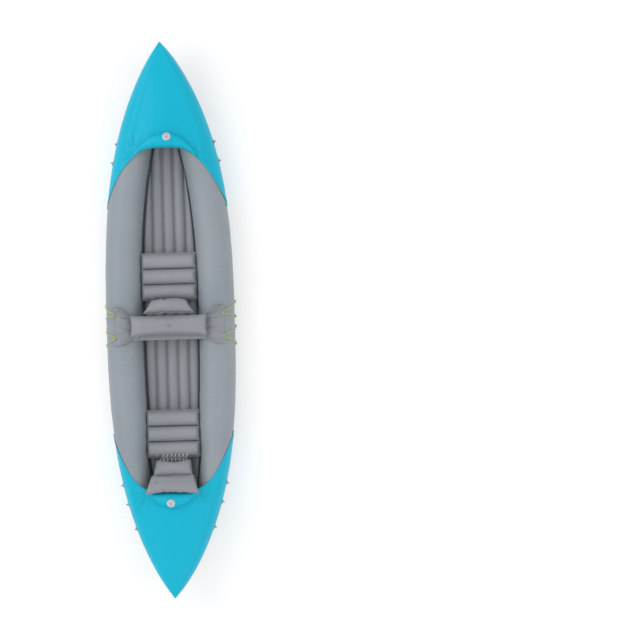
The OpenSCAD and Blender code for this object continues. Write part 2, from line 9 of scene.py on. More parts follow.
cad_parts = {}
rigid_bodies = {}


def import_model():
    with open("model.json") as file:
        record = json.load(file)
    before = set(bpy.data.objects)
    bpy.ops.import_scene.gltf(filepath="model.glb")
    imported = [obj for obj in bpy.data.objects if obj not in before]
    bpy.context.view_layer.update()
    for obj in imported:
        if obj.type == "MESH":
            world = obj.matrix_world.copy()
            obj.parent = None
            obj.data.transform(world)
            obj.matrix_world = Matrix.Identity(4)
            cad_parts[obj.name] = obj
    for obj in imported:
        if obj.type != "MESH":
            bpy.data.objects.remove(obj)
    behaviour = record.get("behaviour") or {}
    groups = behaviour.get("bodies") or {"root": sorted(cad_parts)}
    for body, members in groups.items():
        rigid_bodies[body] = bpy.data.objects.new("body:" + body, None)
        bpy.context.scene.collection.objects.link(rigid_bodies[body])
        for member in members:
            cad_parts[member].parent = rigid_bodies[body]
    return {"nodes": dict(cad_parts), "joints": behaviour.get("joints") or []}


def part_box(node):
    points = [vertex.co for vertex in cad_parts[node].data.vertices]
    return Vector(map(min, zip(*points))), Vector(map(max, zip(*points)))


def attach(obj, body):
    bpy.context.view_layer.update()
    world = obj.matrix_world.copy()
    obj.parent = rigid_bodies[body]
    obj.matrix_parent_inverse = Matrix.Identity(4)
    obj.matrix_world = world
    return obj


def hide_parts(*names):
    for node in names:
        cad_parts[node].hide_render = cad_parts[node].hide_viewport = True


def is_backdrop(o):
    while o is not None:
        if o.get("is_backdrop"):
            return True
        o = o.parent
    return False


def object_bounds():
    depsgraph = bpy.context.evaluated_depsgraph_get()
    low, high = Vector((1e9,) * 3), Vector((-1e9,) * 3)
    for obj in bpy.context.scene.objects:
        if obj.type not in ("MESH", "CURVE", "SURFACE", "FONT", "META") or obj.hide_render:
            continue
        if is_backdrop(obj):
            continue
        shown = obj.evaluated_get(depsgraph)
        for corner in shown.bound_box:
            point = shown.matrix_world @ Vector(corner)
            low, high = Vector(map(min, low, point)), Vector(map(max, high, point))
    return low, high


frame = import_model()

bl_info = {
    "name": "Inflatable two-seat kayak",
    "version": (1, 0, 0),
    "blender": (4, 5, 0),
    "location": "3D View > Sidebar > Kayak",
    "description": "Builds an inflatable kayak with spray covers round its frame",
    "category": "Object",
}

CAD_LOW, CAD_HIGH = (list(corner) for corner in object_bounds())


# ---- Sizes and colours ----------------------------------------------------


def length(name, description, default):
    """A size in metres that a user may change."""
    return FloatProperty(
        name=name, description=description, default=default, min=0, unit="LENGTH", precision=4
    )


def colour(name, description, default):
    """A paint colour that a user may change."""
    return FloatVectorProperty(
        name=name, description=description, default=default, size=3, min=0, max=1,
        subtype="COLOR",
    )


class KayakHullSizes(bpy.types.PropertyGroup):
    hull_length: length("Length", "Length over the two tips", CAD_HIGH[1] - CAD_LOW[1])
    hull_beam: length("Beam", "Width over the two side tubes", 0.76)
    tube_diameter: length("Tube", "Diameter of a side tube amidships", 0.214)
    pucker_depth: length("Puckers", "Depth of the puckers along a tube's seams", 0.0012)
    floor_pitch: length("Floor pitch", "Distance between two floor lobes", 0.066)
    floor_height: length("Floor height", "Height of the floor chamber", 0.08)


class KayakCoverSizes(bpy.types.PropertyGroup):
    edge: length("Edge", "Distance from the middle to a cover's cockpit edge", 1.012)
    edge_depth: length("Edge depth", "How far the edge runs back along the flank", 0.32)
    hem_width: length("Hem", "Width of the welded hem", 0.012)
    seam_width: length("Seam", "Width of a welded seam", 0.014)
    splash_width: length("Splash width", "Width of a splash chamber", 0.082)
    splash_height: length("Splash height", "Height of a splash chamber", 0.036)
    fold_depth: length("Folds", "Depth of the tension folds by a splash chamber", 0.0034)


class KayakTrimSizes(bpy.types.PropertyGroup):
    cord_diameter: length("Cord", "Diameter of the lacing cord", 0.004)
    post_radius: length("Post", "Radius of a lacing post's head", 0.009)
    eyelet_bore: length("Eyelet", "Bore of a rope eyelet", 0.008)
    flange_width: length("Flange", "Width of the weld round an inflated chamber", 0.0035)
    cap_diameter: length("Cap", "Diameter of a valve's screw cap", 0.041)
    cap_ribs: IntProperty(
        name="Cap ribs", description="Grip ribs round a screw cap", default=30, min=3
    )


class KayakColours(bpy.types.PropertyGroup):
    cover: colour("Covers", "Colour of the covers and splash chambers", (0.0, 0.45, 0.63))
    tube: colour("Tubes", "Colour of the side tubes", (0.258, 0.296, 0.33))
    seat: colour("Seats", "Colour of the floor and the seats", (0.245, 0.257, 0.285))
    cord: colour("Cord", "Colour of the lacing cord", (0.56, 0.7, 0.04))
    plastic: colour("Valves", "Colour of the valves", (0.66, 0.66, 0.69))
    rubber: colour("Trim", "Colour of the posts and eyelets", (0.28, 0.29, 0.31))


def sizes(kind):
    """The PropertyGroup of that kind on the scene."""
    return getattr(bpy.context.scene, "kayak_" + kind)


# ---- The hull's shape -----------------------------------------------------


def ramp(value, start, end):
    """0 before start, 1 after end, and a smooth step between."""
    s = min(max((value - start) / (end - start), 0), 1)
    return s * s * (3 - 2 * s)


def bell(value, width):
    """1 at 0, falling smoothly to nothing a few widths away."""
    return math.exp(-((value / width) ** 2))


def squared(value, power):
    """A sine or cosine, bent so that its circle becomes a rounded square."""
    return math.copysign(abs(value) ** power, value)


def ripple(*at):
    """Smooth noise from -1 to 1 that is the same each run."""
    return noise.noise(Vector(at))


class Hull:
    """The rules that the tubes, covers and floor share, in metres."""

    tip_rise = 0.19        # height of the keel at the tips
    stem_height = 0.14
    stem_half = 0.005
    cover_crown = 0.026
    seam_angle = 63.0      # where a cover's side seams lie, above the tube's outer side
    lower_angle = -42.0    # where a cover's side panels end
    arch_share = 0.7       # share of a cover's top that lies between the tubes' middles
    edge_ref = 0.85        # distance from the middle whose width shapes a cover's edge
    tube_gap = 0.0005      # half of a tube's least distance from the centre line
    floor_gap = 0.004      # room between floor and tube

    def __init__(self):
        s = sizes("hull")
        self.half = s.hull_length / 2
        self.beam = s.hull_beam / 2
        self.tube = s.tube_diameter
        self.radius = self.tube / 2
        self.edge = sizes("cover").edge
        self.edge_depth = sizes("cover").edge_depth

    def share(self, y):
        """Distance from the middle as a share of half the length."""
        return min(abs(y) / self.half, 1)

    def half_beam(self, y):
        """Half the width over the two tubes."""
        full = 1 - self.share(y) ** 2.8
        return max(self.stem_half, self.beam * max(full, 0) ** 0.85)

    def keel(self, y):
        """Height of the tubes' underside."""
        return self.tip_rise * max(0, (self.share(y) - 0.5) / 0.5) ** 1.8

    def sheer(self, y):
        """Height of the tubes' top."""
        rise = self.tip_rise + self.stem_height - self.tube
        return self.tube + rise * self.share(y) ** 3

    def rx(self, y):
        """Half a tube's width, which shrinks where the two tubes meet."""
        share = self.share(y)
        portion = 0.5
        if y < 0:
            portion -= 0.22 * (ramp(share, 0.2, 0.5) - ramp(share, 0.64, 0.86))
        a, b = portion * self.half_beam(y) - self.tube_gap, self.radius
        return a * b / (a**6 + b**6) ** (1 / 6)

    def rz(self, y):
        """Half a tube's height."""
        return (self.sheer(y) - self.keel(y)) / 2

    def cx(self, y):
        """Distance of a tube's middle from the centre line."""
        return self.half_beam(y) - self.rx(y)

    def cz(self, y):
        """Height of a tube's middle."""
        return (self.sheer(y) + self.keel(y)) / 2

    def tube_point(self, y, angle, off=0.0):
        """A point on the starboard tube, angle degrees above its outer side."""
        a = math.radians(angle)
        return (
            self.cx(y) + (self.rx(y) + off) * math.cos(a),
            y,
            self.cz(y) + (self.rz(y) + off) * math.sin(a),
        )

    def crown(self, y):
        """How far a cover's middle rises above the tubes."""
        return self.cover_crown * (1 - ramp(self.share(y), 0.62, 0.97))

    def top_point(self, u, y, off=0.0):
        """A point on a cover's top; u runs from -1 at the port seam to 1."""
        a, side = abs(u), -1 if u < 0 else 1
        if a > self.arch_share:
            turn = (90 - self.seam_angle) * (a - self.arch_share) / (1 - self.arch_share)
            x, _, z = self.tube_point(y, 90 - turn, off)
            return side * x, y, z
        s = a / self.arch_share
        z = self.cz(y) + self.rz(y) + off + self.crown(y) * (1 - s * s)
        return side * self.cx(y) * s, y, z

    def edge_y(self, x):
        """Distance from the middle to a cover's edge, x off the centre line."""
        share = min(1, abs(x) / self.half_beam(self.edge_ref))
        return self.edge - self.edge_depth * share**3.8

    def floor_half_width(self, y):
        """Half the width of five lobes, or of the room between the tubes if that is less."""
        return min(2.5 * sizes("hull").floor_pitch, self.cx(y) - self.rx(y) - self.floor_gap)


# ---- Meshes ---------------------------------------------------------------


def linked(name, data):
    """An object with that data, put in the scene."""
    item = bpy.data.objects.new(name, data)
    bpy.context.scene.collection.objects.link(item)
    return item


def shade_smooth(mesh):
    """Shades every face of a mesh smooth."""
    mesh.polygons.foreach_set("use_smooth", [True] * len(mesh.polygons))
    mesh.update()


def new_piece(name, points, faces, material):
    """A mesh object at the origin, with its place in its mesh."""
    mesh = bpy.data.meshes.new(name)
    mesh.from_pydata([tuple(p) for p in points], [], faces)
    shade_smooth(mesh)
    mesh.materials.append(material)
    return linked(name, mesh)


def tidy_mesh(piece, merge=0.0):
    """Merges points closer than merge, and turns every face outwards."""
    bm = bmesh.new()
    bm.from_mesh(piece.data)
    if merge:
        bmesh.ops.remove_doubles(bm, verts=bm.verts, dist=merge)
        bmesh.ops.dissolve_degenerate(bm, edges=bm.edges, dist=merge / 5)
    bmesh.ops.recalc_face_normals(bm, faces=bm.faces)
    bm.to_mesh(piece.data)
    bm.free()
    shade_smooth(piece.data)
    return piece


def ring_faces(rows, count, first=0, closed=True):
    """Quads between rows rings of count points each."""
    span = count if closed else count - 1
    return [
        (first + i * count + k, first + i * count + (k + 1) % count,
         first + (i + 1) * count + (k + 1) % count, first + (i + 1) * count + k)
        for i in range(rows - 1)
        for k in range(span)
    ]


def loft(name, rings, material):
    """A closed solid through rings of points, with a pole at each end."""
    count = len(rings[0])
    points = [p for ring in rings for p in ring]
    faces = ring_faces(len(rings), count)
    for ring, start in ((rings[0], 0), (rings[-1], (len(rings) - 1) * count)):
        middle = sum((Vector(p) for p in ring), Vector()) / count
        points.append(tuple(middle))
        pole = len(points) - 1
        faces += [(start + k, start + (k + 1) % count, pole) for k in range(count)]
    return tidy_mesh(new_piece(name, points, faces, material), 0.000005)


def grid(name, rows, material):
    """An open surface through rows of points."""
    points = [p for row in rows for p in row]
    return new_piece(name, points, ring_faces(len(rows), len(rows[0]), closed=False), material)


def face_up(piece, towards=(0, 0, 1)):
    """Turns an open surface so that most of it faces that way."""
    mesh = piece.data
    mesh.update()
    total = sum((p.normal * p.area for p in mesh.polygons), Vector())
    if total.dot(Vector(towards)) < 0:
        mesh.flip_normals()
        mesh.update()
    return piece


def thicken(piece, thickness):
    """Gives an open surface its thickness, on the inner side."""
    skin = piece.modifiers.new("Thickness", "SOLIDIFY")
    skin.thickness = thickness
    skin.offset = -1
    return piece


def thin_sheet(name, rows, material, thickness, towards=(0, 0, 1)):
    """A sheet through rows of points, and the area that it is cut to."""
    piece = thicken(face_up(grid(name, rows, material), towards), thickness)
    return piece, sum(p.area for p in piece.data.polygons)


def lathe(name, profile, steps, material):
    """A closed solid of revolution about Z through (radius, height) points."""
    points = []
    for radius, height in profile:
        for k in range(steps):
            a = 2 * math.pi * k / steps
            points.append((radius * math.cos(a), radius * math.sin(a), height))
    faces = ring_faces(len(profile), steps)
    return tidy_mesh(new_piece(name, points, faces, material), 0.00001)


def smooth_path(points, per_span):
    """A Catmull-Rom line through points."""
    ps = [Vector(p) for p in points]
    ps = [ps[0] * 2 - ps[1]] + ps + [ps[-1] * 2 - ps[-2]]
    path = []
    for a, b, c, d in zip(ps, ps[1:], ps[2:], ps[3:]):
        for k in range(per_span):
            t = k / per_span
            path.append(
                0.5 * (2 * b + (c - a) * t + (2 * a - 5 * b + 4 * c - d) * t * t
                       + (3 * b - a - 3 * c + d) * t**3)
            )
    return path + [ps[-2]]


def tube_along(name, path, radius, material, sides=10, repeat=0.012):
    """A closed round tube along a path, with UVs that follow it."""
    points, side = [], Vector((1, 0, 0))
    run, runs = 0.0, []
    for i, p in enumerate(path):
        ahead = (path[min(i + 1, len(path) - 1)] - path[max(i - 1, 0)]).normalized()
        side = (side - ahead * side.dot(ahead)).normalized()
        across = ahead.cross(side)
        run += (p - path[i - 1]).length if i else 0
        runs.append(run / repeat)
        for k in range(sides):
            a = 2 * math.pi * k / sides
            points.append(p + radius * (math.cos(a) * side + math.sin(a) * across))
    faces = ring_faces(len(path), sides)
    last = (len(path) - 1) * sides
    faces += [tuple(range(sides - 1, -1, -1)), tuple(last + k for k in range(sides))]
    piece = new_piece(name, points, faces, material)
    uv = piece.data.uv_layers.new(name="Along")
    for polygon in piece.data.polygons:
        turns = [index % sides for index in polygon.vertices]
        wraps = max(turns) == sides - 1 and min(turns) == 0
        for loop, index in zip(polygon.loop_indices, polygon.vertices):
            k = index % sides
            turn = sides if wraps and k == 0 else k
            uv.data[loop].uv = (turn / sides, runs[index // sides])
    return tidy_mesh(piece)


def joined(name, pieces):
    """Several mesh objects made into one."""
    bm = bmesh.new()
    for piece in pieces:
        bm.from_mesh(piece.data)
    mesh = bpy.data.meshes.new(name)
    bm.to_mesh(mesh)
    bm.free()
    for material in pieces[0].data.materials:
        mesh.materials.append(material)
    for piece in pieces:
        bpy.data.objects.remove(piece, do_unlink=True)
    return linked(name, mesh)


def settle(piece, body, slot_name, *nodes):
    """Makes a piece ride on its body and stand for its nodes; slot_name is not used."""
    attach(piece, body)
    if nodes:
        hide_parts(*nodes)
    return piece


# ---- Materials ------------------------------------------------------------


class Tree:
    """Short names for building a node tree."""

    def __init__(self, tree):
        self.tree = tree

    def add(self, kind, inputs=(), **settings):
        node = self.tree.nodes.new(kind)
        for name, value in settings.items():
            setattr(node, name, value)
        return self.feed(node, inputs)

    def feed(self, node, inputs):
        """Links or sets a node's inputs, each by its name or place."""
        for name, value in dict(inputs).items():
            self.put(value, node.inputs[name])
        return node

    def put(self, value, socket):
        """Links a socket to another, or sets it to a value."""
        if isinstance(value, bpy.types.NodeSocket):
            self.tree.links.new(value, socket)
        else:
            socket.default_value = value

    def math(self, operation, *values):
        return self.add("ShaderNodeMath", enumerate(values), operation=operation).outputs[0]

    def object_point(self):
        return self.add("ShaderNodeTexCoord").outputs["Object"]

    def noise(self, scale, detail=3.0, vector=None, roughness=0.5):
        inputs = {"Scale": scale, "Detail": detail, "Roughness": roughness}
        inputs["Vector"] = vector or self.object_point()
        return self.add("ShaderNodeTexNoise", inputs).outputs["Fac"]

    def span(self, value, low, high, to_low=0.0, to_high=1.0):
        """Maps low to high on to to_low to to_high."""
        inputs = {"Value": value, "From Min": low, "From Max": high,
                  "To Min": to_low, "To Max": to_high}
        return self.add("ShaderNodeMapRange", inputs).outputs["Result"]

    def blend(self, share, first, second):
        node = self.add("ShaderNodeMix", {0: share, 6: first, 7: second}, data_type="RGBA")
        return node.outputs[2]


def shader_group(name, ins, outs, build):
    """A shader node group with named inputs and outputs, built once."""
    found = bpy.data.node_groups.get(name)
    if found:
        return found
    tree = bpy.data.node_groups.new(name, "ShaderNodeTree")
    for label, kind, default in ins:
        socket = tree.interface.new_socket(label, in_out="INPUT", socket_type=kind)
        socket.default_value = default
    for label, kind in outs:
        tree.interface.new_socket(label, in_out="OUTPUT", socket_type=kind)
    t = Tree(tree)
    start, end = t.add("NodeGroupInput"), t.add("NodeGroupOutput")
    for label, value in build(t, start.outputs).items():
        t.put(value, end.inputs[label])
    return tree


FLOAT, COLOUR = "NodeSocketFloat", "NodeSocketColor"


def vinyl_grain():
    """The fine print of coated vinyl, with the slight unevenness of its sheet."""

    def build(t, ins):
        fine = t.noise(ins["Fineness"], 4)
        coarse = t.noise(t.math("MULTIPLY", ins["Fineness"], 0.06), 3)
        uneven = t.noise(7.0, 2)
        height = t.math("ADD", t.math("MULTIPLY", fine, 0.22), t.math("MULTIPLY", coarse, 0.6))
        return {"Height": t.math("ADD", height, t.math("MULTIPLY", uneven, 1.4)),
                "Mask": t.span(coarse, 0.42, 0.62)}

    return shader_group("Vinyl grain", [("Fineness", FLOAT, 900.0)],
                        [("Height", FLOAT), ("Mask", FLOAT)], build)


def fold_creases():
    """Faint straight creases left from the folding of the empty skin."""

    def build(t, ins):
        point = t.object_point()
        wander = t.add("ShaderNodeTexNoise", {"Scale": 3.0, "Detail": 2.0, "Vector": point})
        shift = t.add("ShaderNodeVectorMath", {0: wander.outputs["Color"], "Scale": 0.16},
                      operation="SCALE")
        bent = t.add("ShaderNodeVectorMath", {0: point, 1: shift.outputs[0]}, operation="ADD")
        cells = t.add("ShaderNodeTexVoronoi",
                      {"Scale": ins["Density"], "Vector": bent.outputs[0]},
                      feature="DISTANCE_TO_EDGE")
        line = t.span(cells.outputs["Distance"], 0.0, 0.045, 1.0, 0.0)
        patchy = t.span(t.noise(5.0, 2), 0.46, 0.66)
        mask = t.math("MULTIPLY", line, patchy)
        return {"Mask": mask, "Height": t.math("MULTIPLY", mask, -1.0)}

    return shader_group("Fold creases", [("Density", FLOAT, 9.0)],
                        [("Mask", FLOAT), ("Height", FLOAT)], build)


def handling():
    """Colour and roughness of a surface with dust, scuffs and faint fading."""

    def build(t, ins):
        fade = t.span(t.noise(2.2, 3), 0.35, 0.65)
        faded = t.blend(t.math("MULTIPLY", fade, ins["Fading"]), ins["Colour"], ins["Faded"])
        dust = t.span(t.noise(26.0, 6, roughness=0.7), 0.52, 0.74)
        dusty = t.blend(t.math("MULTIPLY", dust, ins["Dust"]), faded, (0.62, 0.61, 0.58, 1))
        scratch = t.add("ShaderNodeMapping",
                        {"Vector": t.object_point(), "Scale": (260.0, 24.0, 120.0)})
        scuff = t.span(t.noise(1.0, 2, vector=scratch.outputs[0]), 0.7, 0.8)
        rough = t.math("ADD", ins["Roughness"], t.math("MULTIPLY", dust, 0.16))
        rough = t.math("ADD", rough, t.math("MULTIPLY", scuff, 0.12))
        return {"Colour": t.blend(t.math("MULTIPLY", scuff, 0.12), dusty, ins["Faded"]),
                "Roughness": t.math("ADD", rough, t.math("MULTIPLY", fade, 0.05))}

    ins = [("Colour", COLOUR, (0.5, 0.5, 0.5, 1)), ("Faded", COLOUR, (0.6, 0.6, 0.6, 1)),
           ("Fading", FLOAT, 0.4), ("Dust", FLOAT, 0.1), ("Roughness", FLOAT, 0.35)]
    return shader_group("Handling", ins, [("Colour", COLOUR), ("Roughness", FLOAT)], build)


def braid():
    """Diagonal strands that cross round a cord, from UVs along it."""

    def build(t, ins):
        uv = t.add("ShaderNodeUVMap", uv_map="Along").outputs["UV"]
        split = t.add("ShaderNodeSeparateXYZ", {"Vector": uv})
        round_, along = split.outputs[0], split.outputs[1]
        around = t.math("MULTIPLY", round_, ins["Strands"])

        def strands(sign):
            lead = t.math("MULTIPLY", along, ins["Strands"])
            turn = t.math("ADD", around, t.math("MULTIPLY", lead, sign))
            return t.math("ABSOLUTE", t.math("SINE", t.math("MULTIPLY", turn, math.pi)))

        left, right = strands(1.0), strands(-1.0)
        over = t.math("MAXIMUM", left, right)
        return {"Height": over, "Mask": t.span(over, 0.62, 0.98)}

    return shader_group("Braid", [("Strands", FLOAT, 4.0)],
                        [("Height", FLOAT), ("Mask", FLOAT)], build)


def mixed(a, b, share):
    """The colour between a and b."""
    return tuple(x + (y - x) * share for x, y in zip(a, b))


def new_material(name):
    """A new material with its Tree and its Principled shader."""
    material = bpy.data.materials.new(name)
    material.use_nodes = True
    tree = Tree(material.node_tree)
    shader = next(n for n in material.node_tree.nodes if n.type == "BSDF_PRINCIPLED")
    return material, tree, shader


def handled(t, shader, paint, roughness, fading, dust):
    """Feeds a shader's roughness from the handling group, and gives its colour."""
    node = t.add("ShaderNodeGroup", {
        "Colour": (*paint, 1), "Faded": (*mixed(paint, (0.8, 0.82, 0.84), 0.18), 1),
        "Fading": fading, "Dust": dust, "Roughness": roughness}, node_tree=handling())
    t.put(node.outputs["Roughness"], shader.inputs["Roughness"])
    return node.outputs["Colour"]


def bumped(t, shader, height, strength, distance):
    """Feeds a shader's normal from a height; distance is in metres."""
    bump = t.add("ShaderNodeBump", {"Strength": strength, "Distance": distance,
                                    "Height": height})
    t.put(bump.outputs["Normal"], shader.inputs["Normal"])


def vinyl(name, paint, roughness, coat, fineness=900.0, creases=0.6, fading=0.35, dust=0.06,
          shine=0.35):
    """Coated vinyl: grain, fold creases, fading and a thin gloss coat."""
    found = bpy.data.materials.get(name)
    if found:
        return found
    material, t, shader = new_material(name)
    base = handled(t, shader, paint, roughness, fading, dust)
    grain = t.add("ShaderNodeGroup", {"Fineness": fineness}, node_tree=vinyl_grain())
    crease = t.add("ShaderNodeGroup", node_tree=fold_creases())
    worn = t.math("MULTIPLY", crease.outputs["Mask"], 0.22 * creases)
    pale = (*mixed(paint, (0.85, 0.87, 0.88), 0.4), 1)
    t.feed(shader, {"Base Color": t.blend(worn, base, pale), "Specular IOR Level": shine,
                    "Coat Weight": coat, "Coat Roughness": 0.22})
    dents = t.math("MULTIPLY", crease.outputs["Height"], creases)
    bumped(t, shader, t.math("ADD", grain.outputs["Height"], dents), 0.5, 0.0009)
    return material


def moulded(name, paint, roughness, fineness=1600.0, strength=0.25):
    """Moulded plastic or rubber with a fine spark-eroded grain."""
    found = bpy.data.materials.get(name)
    if found:
        return found
    material, t, shader = new_material(name)
    t.put(handled(t, shader, paint, roughness, 0.3, 0.12), shader.inputs["Base Color"])
    grain = t.add("ShaderNodeGroup", {"Fineness": fineness}, node_tree=vinyl_grain())
    bumped(t, shader, grain.outputs["Height"], strength, 0.0004)
    return material


def cover_vinyl():
    return vinyl("Cover vinyl", tuple(sizes("colours").cover), 0.4, 0.08,
                 creases=0.0, fading=0.02, dust=0.01, shine=0.16)


def tube_vinyl():
    return vinyl("Tube vinyl", tuple(sizes("colours").tube), 0.45, 0.04, creases=0.08)


def seat_vinyl():
    return vinyl("Cushion vinyl", tuple(sizes("colours").seat), 0.4, 0.06,
                 creases=0.08, shine=0.45)


def weld_vinyl():
    paint = mixed(tuple(sizes("colours").cover), (0, 0.2, 0.3), 0.25)
    return vinyl("Welded hem", paint, 0.4, 0.1, 1400.0, 0.1, 0.1, 0.08)


def pale_plastic():
    return moulded("Valve plastic", tuple(sizes("colours").plastic), 0.38)


def stem_plastic():
    return moulded("Stem plastic", tuple(sizes("colours").seat), 0.45)


def dark_plastic():
    return moulded("Trim plastic", tuple(sizes("colours").rubber), 0.5)


def seal_rubber():
    return moulded("Seal rubber", (0.06, 0.055, 0.058), 0.62, 2200.0, 0.4)


def cap_centre():
    return moulded("Cap centre", (0.42, 0.4, 0.41), 0.5, 1800.0, 0.3)


def braided_cord():
    name = "Braided cord"
    found = bpy.data.materials.get(name)
    if found:
        return found
    material, t, shader = new_material(name)
    paint = tuple(sizes("colours").cord)
    base = handled(t, shader, paint, 0.7, 0.3, 0.1)
    strands = t.add("ShaderNodeGroup", node_tree=braid())
    dark = (*mixed(paint, (0.05, 0.07, 0.0), 0.3), 1)
    t.feed(shader, {"Base Color": t.blend(strands.outputs["Mask"], dark, base),
                    "Sheen Weight": 0.3})
    bumped(t, shader, strands.outputs["Height"], 0.8, 0.0006)
    return material


def white_lace():
    return moulded("White lace", (0.72, 0.72, 0.7), 0.7, 2600.0, 0.6)


# ---- Stage ----------------------------------------------------------------


class KAYAK_OT_stage(bpy.types.Operator):
    """Sets up the floor, the lights and the camera above the kayak"""

    bl_idname = "kayak.stage"
    bl_label = "Stage"

    lean = 1.65          # degrees by which the bow leans to the left
    aside = 1.6          # how far the camera stands to starboard
    shift = -0.1885      # how far the lens is shifted back over the kayak
    height = 16.0
    view_level = 0.25    # height above the ground at which view_width is measured
    view_width = 3.76
    sensor = 36          # millimetres
    floor_half = 12.0
    floor_level = -0.0005
    lamps = (("Key", (-3.4, 1.6, 4.2), 4.0, 80), ("Fill", (3.6, -1.0, 4.5), 4.0, 30),
             ("Low_fill", (-0.4, -4.5, 2.6), 3.0, 20))   # (name, place, size, watts)

    def execute(self, context):
        scene = context.scene
        lens = bpy.data.cameras.new("Camera")
        camera = linked("Camera", lens)
        turn = Matrix.Rotation(-math.radians(self.lean), 4, "Z")
        camera.matrix_world = Matrix.Translation(
            turn @ Vector((self.aside, 0, self.height))) @ turn
        lens.sensor_width = self.sensor
        lens.lens = self.sensor * (self.height - self.view_level) / self.view_width
        lens.shift_x = self.shift
        lens.clip_end = 100
        scene.camera = camera
        self.make_floor()
        self.make_lights(scene)
        scene.view_settings.view_transform = "Standard"
        return {"FINISHED"}

    def make_floor(self):
        """A plain pale floor under the kayak."""
        material, t, shader = new_material("Studio floor")
        mottle = t.span(t.noise(3.0, 4), 0.3, 0.7)
        t.put(t.blend(mottle, (0.61, 0.61, 0.61, 1), (0.63, 0.63, 0.63, 1)),
              shader.inputs["Base Color"])
        t.feed(shader, {"Roughness": 0.9, "Emission Color": (1, 1, 1, 1),
                        "Emission Strength": 0.42})
        ends = (-self.floor_half, self.floor_half)
        rows = [[(x, y, self.floor_level) for x in ends] for y in ends]
        face_up(grid("Studio_floor", rows, material))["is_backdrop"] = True

    def make_lights(self, scene):
        """A white surround and three large soft lamps."""
        world = bpy.data.worlds.new("Studio")
        scene.world = world
        world.use_nodes = True
        background = world.node_tree.nodes["Background"]
        background.inputs["Color"].default_value = (1.0, 1.0, 1.0, 1)
        background.inputs["Strength"].default_value = 0.8
        for name, place, size, power in self.lamps:
            lamp = bpy.data.lights.new(name, "AREA")
            lamp.size = size
            lamp.energy = power
            aim = (Vector((0, 0, 0.1)) - Vector(place)).to_track_quat("-Z", "Y")
            light = linked(name, lamp)
            light.matrix_world = Matrix.Translation(place) @ aim.to_matrix().to_4x4()


# ---- Lacing cords ---------------------------------------------------------

LACING_ROUTE = [
    (376, 90, 63), (375, 100, 61), (376, 106, 63), (378, 108, 69), (385, 97, 97),
    (381, 82, 136), (368, 70, 166), (349, 58, 191), (322, 45, 211), (317, 43, 214),
    (314, 37, 215), (317, 31, 214), (322, 29, 211), (349, 27, 191), (368, 25, 166),
    (381, 23, 136), (385, 22, 97), (378, 20, 69), (376, 18, 63), (375, 12, 61),
    (375, -45, 61), (376, -51, 63), (378, -53, 69), (385, -60, 97), (381, -69, 136),
    (368, -76, 166), (349, -83, 191), (322, -91, 211), (317, -93, 214), (314, -99, 215),
    (317, -105, 214), (322, -107, 211), (349, -117, 191), (368, -126, 166),
    (381, -136, 136), (385, -147, 97), (378, -156, 69), (376, -154, 63), (375, -148, 61),
    (376, -138, 63),
]  # the starboard cord from knot to knot, in millimetres


class KAYAK_OT_cords(bpy.types.Operator):
    """Runs the two lacing cords round their posts, with a knot at each end"""

    bl_idname = "kayak.cords"
    bl_label = "Lacing cords"

    def execute(self, context):
        diameter = sizes("trim").cord_diameter
        for side, name in ((1, "starboard"), (-1, "port")):
            route = [(side * x / 1000, y / 1000, z / 1000) for x, y, z in LACING_ROUTE]
            path = smooth_path(route, 4)
            cord = tube_along(name + "_cord", path, diameter / 2, braided_cord())
            settle(cord, "hull", "lime_cord", name + "_lacing_cord")
            ends = [self.knot(f"{name}_knot_{i}", path[at], path[beyond], diameter)
                    for i, (at, beyond) in enumerate(((0, 1), (-1, -2)))]
            knot = joined(name + "_knots", ends)
            settle(knot, "hull", "lime_cord")
        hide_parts("lacing_knots")
        return {"FINISHED"}

    def knot(self, name, end, before, diameter):
        """Two crossing turns of cord drawn tight round the end."""
        away = (end - before).normalized()
        side = away.cross(Vector((1, 0, 0))).normalized()
        up = away.cross(side)
        centre = end + away * diameter * 1.2
        path, steps = [], 40
        for k in range(steps + 1):
            a = 2 * math.pi * k / steps * 2
            wind = diameter * (0.62 + 0.25 * math.cos(a * 1.5))
            path.append(centre + side * wind * math.cos(a) + up * wind * math.sin(a)
                        + away * diameter * 0.5 * math.sin(a * 1.5))
        return tube_along(name, path, diameter * 0.42, braided_cord(), 8)


# ---- Side tubes -----------------------------------------------------------


